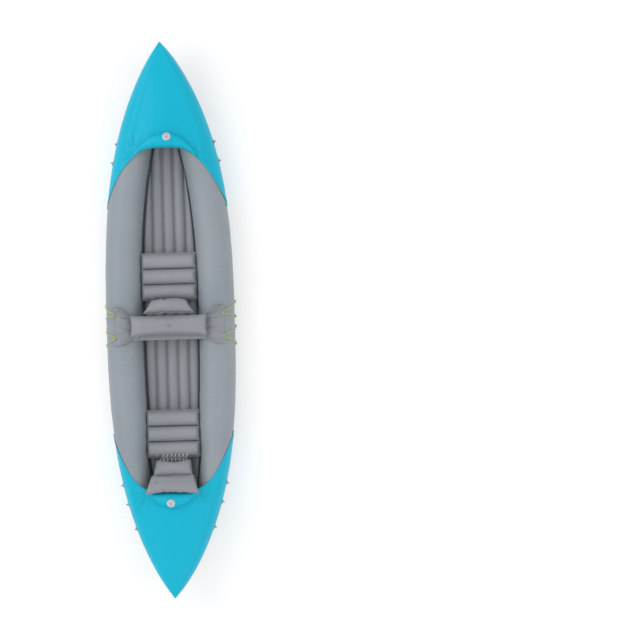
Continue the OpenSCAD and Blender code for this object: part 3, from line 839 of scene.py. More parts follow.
class KAYAK_OT_tubes(bpy.types.Operator):
    """Lofts the two side tubes, puckered along their welded seams"""

    bl_idname = "kayak.tubes"
    bl_label = "Side tubes"

    seams = (152.0, -26.0)   # degrees above the outer side
    tip_gap = 0.02           # how far a tube ends before the tip
    most_proud = 0.0016      # how far its skin may stand out of the even shape
    stations = 600
    around = 80

    def execute(self, context):
        hull = Hull()
        for name, seed in (("starboard", 4.0), ("port", 9.0)):
            tube = loft(name + "_tube", self.rings(hull, seed), tube_vinyl())
            if name == "port":
                tube.data.transform(Matrix.Scale(-1, 4, (1, 0, 0)))
                tube.data.flip_normals()
            settle(tube, "hull", "tube_grey", name + "_side_tube")
        return {"FINISHED"}

    def rings(self, hull, seed):
        """The starboard tube's sections, from the stern tip to the bow tip."""
        depth = sizes("hull").pucker_depth
        reach = hull.half - self.tip_gap
        rings = []
        for i in range(self.stations + 1):
            s = 2 * i / self.stations - 1
            y = reach * (0.86 * s + 0.14 * math.sin(math.pi / 2 * s) ** 3)
            wave = [ripple(y * 46, seed + seam, 0.4) + 0.6 * ripple(y * 95, seed - seam, 2)
                    for seam in self.seams]
            bulge = 0.0011 * ripple(y * 3.2, seed, 7) + 0.0006 * ripple(y * 9, seed, 3)
            fade = 1 - ramp(abs(y), 1.25, 1.55)
            ring = []
            for k in range(self.around):
                angle = 360 * k / self.around
                off = bulge + 0.0006 * ripple(y * 12, math.sin(math.radians(angle)), seed)
                for seam, w in zip(self.seams, wave):
                    d = abs((angle - seam + 180) % 360 - 180)
                    off += depth * w * bell(d, 15) * 1.2 - 0.0011 * bell(d, 2.6)
                    off += 0.0005 * (bell(d - 5.5, 2.0))
                ring.append(hull.tube_point(y, angle, min(off * fade, self.most_proud)))
            rings.append(ring)
        return rings


# ---- Floor ----------------------------------------------------------------


class KAYAK_OT_floor(bpy.types.Operator):
    """Builds the lobed floor and the skins that close the hull round it"""

    bl_idname = "kayak.floor"
    bl_label = "Floor"

    flat_half = 0.894
    half = 1.18
    turn_up = 7.0
    lobes = 5
    per_lobe = 18
    rows = 380
    rim = 0.012            # how far in from its edge the chamber is rounded
    weld_dip = 0.004       # depth of a weld between two lobes
    skin = 0.0008          # thickness of the strips and of the bottom skin
    strip_rise = 0.034     # height at which a strip leaves the floor's side
    strip_angle = 218      # where a strip meets its tube
    keel_angle = 236       # where the bottom skin meets a tube
    keel_start = 1.165
    keel_reach = 0.425

    def execute(self, context):
        hull = Hull()
        floor = self.chamber(hull)
        settle(floor, "hull", "seat_grey", "floor_skin")
        for end, name in ((1, "bow"), (-1, "stern")):
            self.keel_sheet(hull, end, name)
        for side, name in ((1, "starboard"), (-1, "port")):
            self.side_strip(hull, side, name)
        return {"FINISHED"}

    def chamber(self, hull):
        """The floor's closed skin: a lobed top and a plain underside."""
        s = sizes("hull")
        height, pitch = s.floor_height, s.floor_pitch
        r = height / 2 - 0.002
        tilt = math.radians(self.turn_up)
        count = self.lobes * self.per_lobe
        xs = [pitch * self.lobes * (k / count - 0.5) for k in range(count + 1)]
        tops, unders = [], []
        for i in range(self.rows + 1):
            y = self.half * (2 * i / self.rows - 1)
            wide = hull.floor_half_width(y)
            top, under = [], []
            for x in xs:
                x = min(max(x, -wide), wide)
                inside = min(wide - abs(x), self.half - abs(y))
                rim = math.sqrt(1 - (1 - min(1, inside / self.rim)) ** 2)
                f = (x / pitch + self.lobes / 2) % 1 - 0.5
                lobe = math.sqrt(max(r * r - (f * pitch) ** 2, 0))
                groove = (0.5 - abs(f)) * pitch
                z = height - r + lobe - self.weld_dip * bell(groove, 0.0024)
                z += 0.0011 * ripple(y * 52, round(x / pitch) * 3.7, 1) * bell(groove, 0.011)
                z += 0.0009 * ripple(y * 7, x * 9, 5) - 0.0006
                z = height / 2 + (z - height / 2) * rim
                low = height / 2 * (1 - rim)
                for row, level in ((top, z), (under, low)):
                    row.append(self.turned(x, y, level, tilt))
            tops.append(top)
            unders.append(under)
        n = len(xs)
        faces = ring_faces(len(tops), n, closed=False)
        start = len(tops) * n
        faces += [tuple(reversed(f)) for f in ring_faces(len(tops), n, start, False)]
        points = [p for row in tops + unders for p in row]
        return tidy_mesh(new_piece("Floor", points, faces, seat_vinyl()), 0.0003)

    def turned(self, x, y, z, tilt):
        """A point of the level floor, raised where its ends turn up."""
        beyond = max(0.0, abs(y) - self.flat_half)
        eased = beyond * beyond / (beyond + 0.012)
        return x, y, z + eased * math.sin(tilt)

    def side_strip(self, hull, side, name):
        """The strip of skin that joins the floor's side to a tube."""
        tilt = math.radians(self.turn_up)
        rows, long, steps, across = [], 2 * (self.half - 0.006), 180, 8
        for i in range(steps + 1):
            y = long * (i / steps - 0.5)
            wide = hull.floor_half_width(y)
            _, _, rise = self.turned(0, y, 0, tilt)
            x, _, z = hull.tube_point(y, self.strip_angle, 0.0002)
            inner = Vector((side * (wide - 0.002), y, self.strip_rise + rise))
            far = Vector((side * x, y, z))
            rows.append([
                inner.lerp(far, k / across)
                + Vector((0, 0, -0.002 * math.sin(math.pi * k / across)))
                for k in range(across + 1)])
        piece, area = thin_sheet(name + "_floor_strip", rows, tube_vinyl(), self.skin)
        settle(piece, "hull", "tube_grey")

    def keel_sheet(self, hull, end, name):
        """The hull's bottom skin between the tubes, from the floor to the stem."""
        rows = []
        for i in range(61):
            y = self.keel_start + self.keel_reach * i / 60
            edge = hull.tube_point(end * y, self.keel_angle, -0.0005)
            half = hull.cx(end * y) * 2 - edge[0] if edge[0] > hull.cx(end * y) else edge[0]
            rows.append([
                (half * s, end * y,
                 edge[2] + 0.0012 * ripple(y * 30, s * 2, 1) - 0.006 * (1 - s * s))
                for s in (k / 12 - 1 for k in range(25))
            ])
        piece, area = thin_sheet(name + "_keel_skin", rows, tube_vinyl(), self.skin, (0, 0, -1))
        settle(piece, "hull", "tube_grey")


# ---- Covers ---------------------------------------------------------------


class KAYAK_OT_covers(bpy.types.Operator):
    """Stretches a spray cover over each end, with its hem and splash chamber"""

    bl_idname = "kayak.covers"
    bl_label = "Spray covers"

    gap = 0.002
    skin = 0.001
    hem_rows = (0, 0.0012, 0.003, 0.005, 0.007, 0.009, 0.0108, 0.012, 0.0135, 0.016)
    rows = 104
    hem_end = 0.016      # how far from the edge the hem's rows end
    stem_rows = ((0.5, 0.0012), (0.06, 0.0016))   # (share of the width, reach)
    fan = 13             # folds in a full turn round a splash chamber's end
    splash_gap = 0.004   # how far a splash chamber lies behind the edge
    splash_reach = 0.985 # share of its width where a splash chamber ends
    tab_angle = 8        # degrees above the tube's outer side
    tab_before = 0.015   # how far a tab's middle lies from the edge's end, towards midships
    tab_profile = ((0.0001, 0.0048), (0.0055, 0.0046), (0.0065, 0.0038), (0.0115, 0.0036),
                   (0.0135, 0.003), (0.014, 0.0009), (0.013, 0.0004), (0.0001, 0.0004))

    def execute(self, context):
        hull = Hull()
        for end, name in ((1, "bow"), (-1, "stern")):
            cover, area = self.cover(hull, end, name)
            hem = self.hem(hull, end, name)
            nodes = [f"{name}_cover_{part}" for part in ("top", "port", "starboard")]
            settle(cover, "hull", "turquoise", *nodes)
            settle(hem, "hull", "turquoise")
            splash = self.splash(hull, end, name)
            settle(splash, "hull", "turquoise", name + "_splash_chamber")
        tabs = self.tabs(hull)
        settle(tabs, "hull", "turquoise", "cover_end_tabs")
        return {"FINISHED"}

    def columns(self, hull):
        """Places round the section: (kind, value), port side panel first."""
        side = [hull.lower_angle + (hull.seam_angle - hull.lower_angle) * k / 26
                for k in range(26)]
        top = [k / 36 - 1 for k in range(73)]
        return ([(-1, a) for a in side] + [(0, u) for u in top]
                + [(1, a) for a in reversed(side)])

    def at(self, hull, column, y, off):
        """The point of a column at y, off above the tubes."""
        kind, value = column
        if kind == 0:
            return hull.top_point(value, y, off)
        x, _, z = hull.tube_point(y, value, off)
        return kind * x, y, z

    def start(self, hull, column):
        """Distance from the middle at which a column starts."""
        kind, value = column
        if kind == 0:
            return hull.edge_y(hull.top_point(value, hull.edge_ref)[0])
        return hull.edge_y(hull.tube_point(hull.edge_ref, max(value, 0))[0])

    def cover(self, hull, end, name):
        """One skin over both side panels and the top, from the edge to the stem."""
        s = sizes("cover")
        columns = self.columns(hull)
        rows = []
        for i in range(len(self.hem_rows) + self.rows):
            row = []
            for column in columns:
                first = self.start(hull, column)
                if i < len(self.hem_rows):
                    y = first + self.hem_rows[i]
                else:
                    j = i - len(self.hem_rows) + 1
                    f = j / self.rows
                    f = 0.45 * f + 0.55 * math.sin(math.pi / 2 * f)
                    y = first + self.hem_end + (hull.half - first - self.hem_end) * f
                off = self.gap + self.skin + self.relief(hull, s, column, end, y, name)
                row.append(self.at(hull, column, end * y, off))
            rows.append(row)
        for share, reach in self.stem_rows:
            rows.append([(x * share, y + end * reach, z) for x, y, z in rows[-1]])
        return thin_sheet(name + "_cover", rows, cover_vinyl(), self.skin)

    def relief(self, hull, s, column, end, y, name):
        """How far the cover stands out of its even shape."""
        kind, value = column
        seed = 3.0 if name == "bow" else 11.0
        first = self.start(hull, column)
        if kind == 0:
            flank = (1 - abs(value)) * 0.16
        else:
            flank = (hull.seam_angle - value) * 0.0019
        x, _, z = self.at(hull, column, end * y, 0)
        fade = 1 - ramp(y, 1.45, 1.6)
        off = 0.0007 * (1 - ramp(flank, s.seam_width / 2, s.seam_width / 2 + 0.003))
        off += 0.0009 * ripple(x * 9, y * 7, seed) + 0.0005 * ripple(x * 30, y * 22, seed)
        if kind == 0 or value > 20:
            off += 0.0008 * ripple(y * 48, seed, flank * 9) * bell(flank - 0.012, 0.014)
        lean = ripple(x * 34 + 3 * y, y * 4.5, seed + 2)
        off += 0.0004 * lean * bell(y - first - 0.25, 0.16) * (1 if kind == 0 else 0.4)
        if kind == 0 and abs(value) < 0.98:
            off += self.folds(hull, s, x, y, end, seed)
        off += 0.0008 * (1 - ramp(y - first, s.hem_width - 0.002, s.hem_width))
        return max(off * fade, -0.0004)

    def span(self, end):
        """Share of the width between the tubes that the splash chamber takes up."""
        return 0.89 if end > 0 else 0.66

    def shift(self, end):
        """How far the splash chamber lies to starboard, as a share of half the width."""
        return 0.105 if end > 0 else 0.0

    def folds(self, hull, s, x, y, end, seed):
        """Tension folds that radiate from the ends and back of the splash chamber."""
        half = hull.cx(hull.edge_ref)
        tip_x = half * (0.97 * self.span(end) + (self.shift(end) if x > 0 else -self.shift(end)))
        tip_y = hull.edge_y(tip_x) + 0.006
        dx, dy = abs(x) - tip_x, y - tip_y
        reach = math.hypot(dx, dy)
        angle = math.atan2(dy, dx)
        outward = ramp(reach, 0.008, 0.02) * bell(max(reach - 0.05, 0), 0.06)
        fan = math.cos(angle * self.fan + 2.0 * ripple(angle * 3, seed, x * 0.1))
        off = s.fold_depth * 2.0 * outward * (max(fan, 0.0) ** 2 - 0.15)
        slack = bell(y - 1.36, 0.05) * bell(abs(x) - 0.05, 0.06) * (1 if x < 0 else 0.4)
        off += 0.0011 * slack * max(0.0, ripple(x * 11, y * 75 + x * 14, seed))
        back = self.splash_back(hull, s, x, end)
        if back is not None:
            gap = y - back
            if gap > 0:
                comb = ripple(x * 62, seed, gap * 8) + 0.5 * ripple(x * 120, seed, gap * 14)
                off += s.fold_depth * 0.75 * comb * bell(gap - 0.012, 0.022)
        return off

    def splash_back(self, hull, s, x, end):
        """Distance from the middle to the splash chamber's back seam at x."""
        share = abs(x / hull.cx(hull.edge_ref) - self.shift(end)) / self.span(end)
        if share >= self.splash_reach:
            return None
        depth = s.splash_width * math.sqrt(1 - share * share)
        return hull.edge_y(x) + self.splash_gap + depth

    def hem(self, hull, end, name):
        """The rolled edge that finishes the cover towards the cockpit."""
        path = []
        for column in self.columns(hull):
            y = self.start(hull, column) + 0.0012
            path.append(Vector(self.at(hull, column, end * y, self.gap + 0.0012)))
        path = [p for i, p in enumerate(path) if i == 0 or (p - path[i - 1]).length > 0.002]
        return tube_along(name + "_cover_hem", smooth_path(path, 2), 0.0017, weld_vinyl(), 8)

    def splash(self, hull, end, name):
        """The inflated crescent on the cover's edge, with its flat welded lip."""
        s = sizes("cover")
        seed = 21.0 if name == "bow" else 33.0
        rings, steps, around = [], 220, 40
        for i in range(steps + 1):
            t = self.splash_reach * math.sin(math.pi / 2 * (2 * i / steps - 1))
            shape = math.sqrt(1 - t * t)
            width, height = s.splash_width * shape, s.splash_height * shape
            u = (t * self.span(end) + self.shift(end)) * hull.arch_share
            x = abs(hull.top_point(u, hull.edge_ref)[0])
            front = hull.edge_y(x) + self.splash_gap
            lip = min(0.009, width * 0.3)
            ring = []
            for across, rise in self.splash_section(width, height, lip, around):
                y = front + across
                pinch = ripple(x * 75 * (1 if t > 0 else -1), seed, rise * 20)
                edge = 1 - min(1, rise / max(height, 0.001))
                up = 0.0014 * pinch * edge * shape if rise > 0.003 else 0
                up += 0.0009 * ripple(t * 9, across * 30, seed) * (rise > 0.003)
                base = hull.top_point(u, end * y, 0.003)
                ring.append((base[0], end * y, base[2] + 0.002 + rise + up))
            rings.append(ring)
        return loft(name + "_splash_bag", rings, cover_vinyl())

    def splash_section(self, width, height, lip, around):
        """(across, rise) points: up over the bag, along the back lip and under."""
        points = []
        for k in range(around + 1):
            a = math.pi * k / around
            points.append((width / 2 * (1 - math.cos(a)),
                           max(height * math.sin(a) ** 0.92, 0.0015)))
        points += [(width + lip * 0.5, 0.0014), (width + lip, 0.0009), (width + lip, 0.0)]
        points += [(width * f, 0.0) for f in (0.9, 0.6, 0.3, 0.0)]
        return points

    def tabs(self, hull):
        """Round patches that hold down the ends of the covers' edges."""
        pieces = []
        for side in (-1, 1):
            for end in (-1, 1):
                rings, around = [], 36
                for radius, lift in self.tab_profile:
                    ring = []
                    for k in range(around):
                        a = 2 * math.pi * k / around
                        middle = end * (hull.edge - hull.edge_depth - self.tab_before)
                        y = middle + radius * math.sin(a)
                        turn = math.degrees(radius * math.cos(a) / hull.radius)
                        x, _, z = hull.tube_point(y, self.tab_angle + turn, lift + 0.0006)
                        ring.append((side * x, y, z))
                    rings.append(ring)
                pieces.append(loft(f"tab_{side}_{end}", rings, weld_vinyl()))
        return joined("cover_tabs", pieces)


# ---- Inflated pads --------------------------------------------------------


def quarter(a, b, cell):
    """Points (across, height share, arc length) up a quarter ellipse."""
    fine = [(a * (1 - math.cos(t)), math.sin(t))
            for t in (math.pi / 2 * k / 64 for k in range(65))]
    run, table = 0.0, [(0.0, 0.0, 0.0)]
    for p, q in zip(fine, fine[1:]):
        run += math.hypot(q[0] - p[0], b * (q[1] - p[1]))
        table.append((q[0], q[1], run))
    steps = max(3, round(run / cell))
    points = []
    for k in range(steps + 1):
        want = run * k / steps
        i = next(i for i, row in enumerate(table) if row[2] >= want - 1e-9)
        points.append((*table[i][:2], want))
    return points


def flat_top(width, end, height, cell):
    """(place, height share, flat place) across a form with two rounded ends."""
    rise = quarter(end, height, cell)
    straight = width - 2 * end
    steps = max(2, round(straight / cell))
    left = [(-width / 2 + x, h, -straight / 2 - rise[-1][2] + run) for x, h, run in rise]
    middle = [(-straight / 2 + straight * k / steps, 1.0) for k in range(1, steps)]
    points = left + [(x, h, x) for x, h in middle]
    return points + [(-x, h, -flat) for x, h, flat in reversed(left)]


def lobed(depth, height, lobes, cell):
    """(place, height share, flat place, on a weld) across a row of round lobes."""
    rise = quarter(depth / lobes / 2, height, cell)
    arc = rise[-1][2]
    points = []
    for lobe in range(lobes):
        first = -depth / 2 + depth * lobe / lobes
        flat = 2 * arc * lobe - arc * lobes
        up = [(first + x, h, flat + run, run == 0) for x, h, run in rise]
        down = [(first + depth / lobes - x, h, flat + 2 * arc - run, run == 0)
                for x, h, run in reversed(rise[:-1])]
        points += (up if lobe == 0 else up[1:]) + down
    return points


class Pad:
    """Two sheets welded round their rim and between lobes, then blown up."""

    weld_end = 0.016    # how far a weld between lobes stops short of the rim
    frames = 16
    pressure = 4.0
    cap = 0.016         # how far a point may move while it is blown up
    lip_root = 0.004    # how far in from the rim the lip starts

    def __init__(self, name, width, depth, thick, lobes=1, end=None, taper=None, cell=0.006):
        self.name = name
        self.taper = taper or (lambda share: (1, 1))
        half = thick / 2
        self.xs = flat_top(width, end or half, half, cell)
        self.ys = lobed(depth, half, lobes, cell)
        self.depth, self.half = depth, half
        self.points, self.flat, self.ids = [], [], {}
        for i in range(len(self.xs)):
            for j in range(len(self.ys)):
                self.place(i, j)
        self.faces = self.quads()

    def place(self, i, j):
        x, hx, flat_x = self.xs[i]
        y, hy, flat_y, weld = self.ys[j]
        wide, tall = self.taper(y / self.depth + 0.5)
        near = self.xs[-1][2] - abs(flat_x)
        rim = i in (0, len(self.xs) - 1) or j in (0, len(self.ys) - 1)
        single = rim or (weld and near > self.weld_end)
        round_all = math.sqrt(max(0.0, 1 - abs(2 * y / self.depth) ** 5))
        hy += (round_all - hy) * 0.6 * (1 - ramp(near, 0.01, 0.045))
        z = self.half * tall * hx * hy
        dent = 0.0008 * ripple(x * 33, y * 33, len(self.name))
        for layer in ((0,) if single else (1, -1)):
            index = len(self.points)
            if single:
                self.ids[i, j, 1] = self.ids[i, j, -1] = index
            else:
                self.ids[i, j, layer] = index
            self.points.append((x * wide, y, layer * z + dent))
            self.flat.append((flat_x * wide, flat_y, 0.0))

    def quads(self):
        faces = []
        for i in range(len(self.xs) - 1):
            for j in range(len(self.ys) - 1):
                corners = ((i, j), (i + 1, j), (i + 1, j + 1), (i, j + 1))
                top = tuple(self.ids[a, b, 1] for a, b in corners)
                under = tuple(self.ids[a, b, -1] for a, b in reversed(corners))
                faces += [top, under]
        return faces

    def rim(self):
        """The vertices round the rim, in order."""
        last_x, last_y = len(self.xs) - 1, len(self.ys) - 1
        loop = [(i, 0) for i in range(last_x)] + [(last_x, j) for j in range(last_y)]
        loop += [(i, last_y) for i in range(last_x, 0, -1)]
        loop += [(0, j) for j in range(last_y, 0, -1)]
        return [self.ids[i, j, 1] for i, j in loop]

    def build(self, material):
        piece = new_piece(self.name, self.points, self.faces, material)
        self.blow_up(piece)
        self.add_lip(piece)
        return piece

    def blow_up(self, piece):
        """Cloth under air pressure, whose rest shape is the flat cut."""
        piece.shape_key_add(name="Blown")
        cut = piece.shape_key_add(name="Flat cut")
        for point, place in zip(cut.data, self.flat):
            point.co = place
        cloth = piece.modifiers.new("Air", "CLOTH")
        c = cloth.settings
        c.rest_shape_key = cut
        c.quality = 5
        c.mass = 0.08
        c.tension_stiffness = 25
        c.compression_stiffness = 10
        c.shear_stiffness = 6
        c.bending_stiffness = 0.04
        c.tension_damping = c.compression_damping = c.shear_damping = 15
        c.air_damping = 4
        c.use_pressure = True
        c.uniform_pressure_force = self.pressure
        c.effector_weights.gravity = 0
        cloth.collision_settings.use_collision = False
        scene = bpy.context.scene
        for frame_number in range(1, self.frames + 1):
            scene.frame_set(frame_number)
        depsgraph = bpy.context.evaluated_depsgraph_get()
        blown = piece.evaluated_get(depsgraph).to_mesh()
        moved = [v.co.copy() for v in blown.vertices]
        piece.evaluated_get(depsgraph).to_mesh_clear()
        piece.modifiers.remove(cloth)
        piece.shape_key_clear()
        scene.frame_set(1)
        for vertex, start, end in zip(piece.data.vertices, self.points, moved):
            shift = end - Vector(start)
            if shift.length > self.cap:
                shift *= self.cap / shift.length
            vertex.co = Vector(start) + shift
        piece.data.update()

    def add_lip(self, piece):
        """Rounds the mesh by one subdivision, then adds the flat welded lip."""
        rim = self.rim()
        rim_points = [piece.data.vertices[i].co.copy() for i in rim]
        smooth = piece.modifiers.new("Smooth", "SUBSURF")
        smooth.levels = smooth.render_levels = 1
        depsgraph = bpy.context.evaluated_depsgraph_get()
        mesh = bpy.data.meshes.new_from_object(piece.evaluated_get(depsgraph))
        piece.modifiers.remove(smooth)
        piece.data = mesh
        wide = sizes("trim").flange_width
        count = len(rim_points)
        ring_points = []
        for k, p in enumerate(rim_points):
            ahead = rim_points[(k + 2) % count] - rim_points[k - 2]
            out = Vector((ahead.y, -ahead.x, 0)).normalized()
            for reach, lift in ((-self.lip_root, 0.0008), (wide, 0.0005), (wide, -0.0005),
                                (-self.lip_root, -0.0008)):
                ring_points.append(p + out * reach + Vector((0, 0, lift)))
        faces = []
        for k in range(count):
            after = (k + 1) % count
            for m in range(4):
                n = (m + 1) % 4
                faces.append((4 * k + m, 4 * k + n, 4 * after + n, 4 * after + m))
        lip = tidy_mesh(new_piece(self.name + "_lip", ring_points, faces, mesh.materials[0]))
        bm = bmesh.new()
        for part in (lip, piece):
            bm.from_mesh(part.data)
        bm.to_mesh(piece.data)
        bm.free()
        bpy.data.objects.remove(lip, do_unlink=True)
        shade_smooth(piece.data)


def fit(piece, low, high):
    """Scales and moves a mesh so that it fills that box."""
    points = [v.co for v in piece.data.vertices]
    lows = [min(p[k] for p in points) for k in range(3)]
    highs = [max(p[k] for p in points) for k in range(3)]
    for p in points:
        for k in range(3):
            share = (p[k] - lows[k]) / (highs[k] - lows[k])
            p[k] = low[k] + share * (high[k] - low[k])
    piece.data.update()


def grown(node, by=(0, 0, 0)):
    """A CAD node's box, grown by that much on each side."""
    low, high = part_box(node)
    return [a - b for a, b in zip(low, by)], [a + b for a, b in zip(high, by)]


class KAYAK_OT_cushions(bpy.types.Operator):
    """Blows up the two seat cushions, three welded lobes each"""

    bl_idname = "kayak.cushions"
    bl_label = "Seat cushions"

    def execute(self, context):
        low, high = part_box("front_cushion")
        width, depth, thick = (b - a for a, b in zip(low, high))
        front = Pad("Front_cushion", width, depth, thick, lobes=3, end=0.024).build(seat_vinyl())
        rear = linked("Rear_cushion", front.data.copy())
        rear.data.transform(Matrix.Rotation(math.pi, 4, "Z"))
        for piece, node, more in ((front, "front_cushion", 0.012), (rear, "rear_cushion", 0.007)):
            fit(piece, *grown(node, (more, 0.004, -0.0008)))
            settle(piece, "hull", "seat_grey", node)
        return {"FINISHED"}


def chamber(name, node, first, second, body, arc=0.0):
    """A flat chamber from one roll to another, each (y, z, radius, width)."""
    a, b = Vector((0, first[0], first[1])), Vector((0, second[0], second[1]))
    along = (b - a).normalized()
    depth = (b - a).length + first[2] + second[2]
    wide = max(first[3], second[3])
    thick = 2 * max(first[2], second[2])

    def taper(share):
        width = first[3] + (second[3] - first[3]) * share
        radius = first[2] + (second[2] - first[2]) * share
        return width / wide, 2 * radius / thick

    piece = Pad(name, wide, depth, thick, end=thick * 0.4, taper=taper,
                cell=0.0055).build(seat_vinyl())
    for vertex in piece.data.vertices:
        p = vertex.co
        p.y += arc * (2 * p.x / wide) ** 2 * (0.5 - p.y / depth)
    across = Vector((1, 0, 0))
    if along.y < 0:
        across = -across
    normal = across.cross(along)
    middle = a - along * first[2] + along * depth / 2
    turn = Matrix((across, along, normal)).transposed().to_4x4()
    piece.data.transform(Matrix.Translation(middle) @ turn)
    fit(piece, *grown(node, (0.003, 0, -0.0005)))
    settle(piece, body, "seat_grey", node)
    return piece


class KAYAK_OT_front_backrest(bpy.types.Operator):
    """Builds the front backrest: lower chamber, pillow and the laced sheet"""

    bl_idname = "kayak.front_backrest"
    bl_label = "Front backrest"

    sheet_z = 0.201
    flap_x = 0.341
    pillow_y = -0.032
    pillow_half = (0.22, 0.058)
    flap_more = 0.056
    back_more = 0.026         # how far the sheet's back edge stands out behind the pillow
    fold_start = 0.15         # where the folds start, off the centre line
    fold_middle = (0.19, 0.03)   # the point that the folds radiate from
    fold_height = 0.011
    corner_lift = (0.038, 0.014)   # how far a flap's front and back corner stand up
    thickness = 0.0012

    def execute(self, context):
        chamber("Front_backrest_base", "front_backrest_lower",
                (0.112, 0.1955, 0.017, 0.21), (0.064, 0.2095, 0.026, 0.3), "hull", 0.045)
        low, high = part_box("front_backrest_pillow")
        width, depth, thick = (b - a for a, b in zip(low, high))
        pillow = Pad("Pillow", width, depth * 0.96, thick, end=0.06, cell=0.0055)
        piece = pillow.build(seat_vinyl())
        self.pinch(piece)
        fit(piece, *grown("front_backrest_pillow", (0.004, 0.003, -0.0005)))
        settle(piece, "hull", "seat_grey", "front_backrest_pillow")
        self.sheet(Hull())
        return {"FINISHED"}

    def pinch(self, piece):
        """Draws in the pillow's long sides, so that its corners stand out."""
        for vertex in piece.data.vertices:
            p = vertex.co
            along, across = p.x / self.pillow_half[0], p.y / self.pillow_half[1]
            p.y *= 0.93 + 0.09 * abs(along) ** 3
            p.x *= 0.975 + 0.025 * abs(across) ** 2
            p.z += (0.0016 * ripple(along * 4, across * 7, 5)
                    * ramp(abs(along), 0.6, 0.9) * (1 if p.z > 0 else 0))
        piece.data.update()

    def under(self, hull, x):
        """Height of the sheet's underside where it lies on the tubes."""
        out, r = abs(x) - hull.cx(0), hull.radius + 0.002
        on_tube = hull.radius + math.sqrt(max(0.0, r * r - out * out))
        return max(self.sheet_z, on_tube) if out < 0 else on_tube

    def sheet(self, hull):
        """The sheet under the pillow, whose two flaps lie over the side tubes."""
        columns, rows_count = 170, 56
        rows = []
        for i in range(rows_count + 1):
            v = 1 - 2 * i / rows_count
            row = []
            for k in range(columns + 1):
                x = self.flap_x * (2 * k / columns - 1)
                x *= 1 - 0.05 * (1 - v * v) * abs(x / self.flap_x) ** 6
                row.append(self.sheet_point(hull, x, v))
            rows.append(row)
        piece, area = thin_sheet("Backrest_sheet", rows, seat_vinyl(), self.thickness)
        settle(piece, "hull", "seat_grey", "front_backrest_sheet")

    def sheet_point(self, hull, x, v):
        """A point of the sheet; v runs from 1 at its front edge to -1 at its back."""
        far = abs(x)
        side = 1 if x > 0 else -1
        wide = ramp(far, self.pillow_half[0] - 0.03, self.flap_x - 0.016)
        corner = ramp(far, self.flap_x - 0.02, self.flap_x)
        reach = self.pillow_half[1] + wide * self.flap_more
        if v < 0:
            reach += self.back_more * (1 - wide)
        y = self.pillow_y + v * reach * (1 - 0.07 * corner * abs(v) ** 6)
        z = self.under(hull, x) + self.thickness
        if far > self.fold_start:
            dx, dy = far - self.fold_middle[0], abs(y - self.pillow_y) - self.fold_middle[1]
            angle = math.atan2(dy, dx)
            reach = math.hypot(dx, dy)
            fan = max(0.0, math.cos(angle * 7 + 2.2 * ripple(angle * 2, side, v * 0.4)))
            fold = self.fold_height * fan * bell(reach - 0.075, 0.045)
            lift = bell(abs(v) - 0.97, 0.1) * bell(far - 0.262, 0.04)
            fold += self.corner_lift[0 if v > 0 else 1] * lift
            fold += 0.0022 * max(0.0, ripple(x * 26, y * 26, side * 3.0))
            z += fold * ramp(far, self.fold_start, 0.2)
        return x, y, z


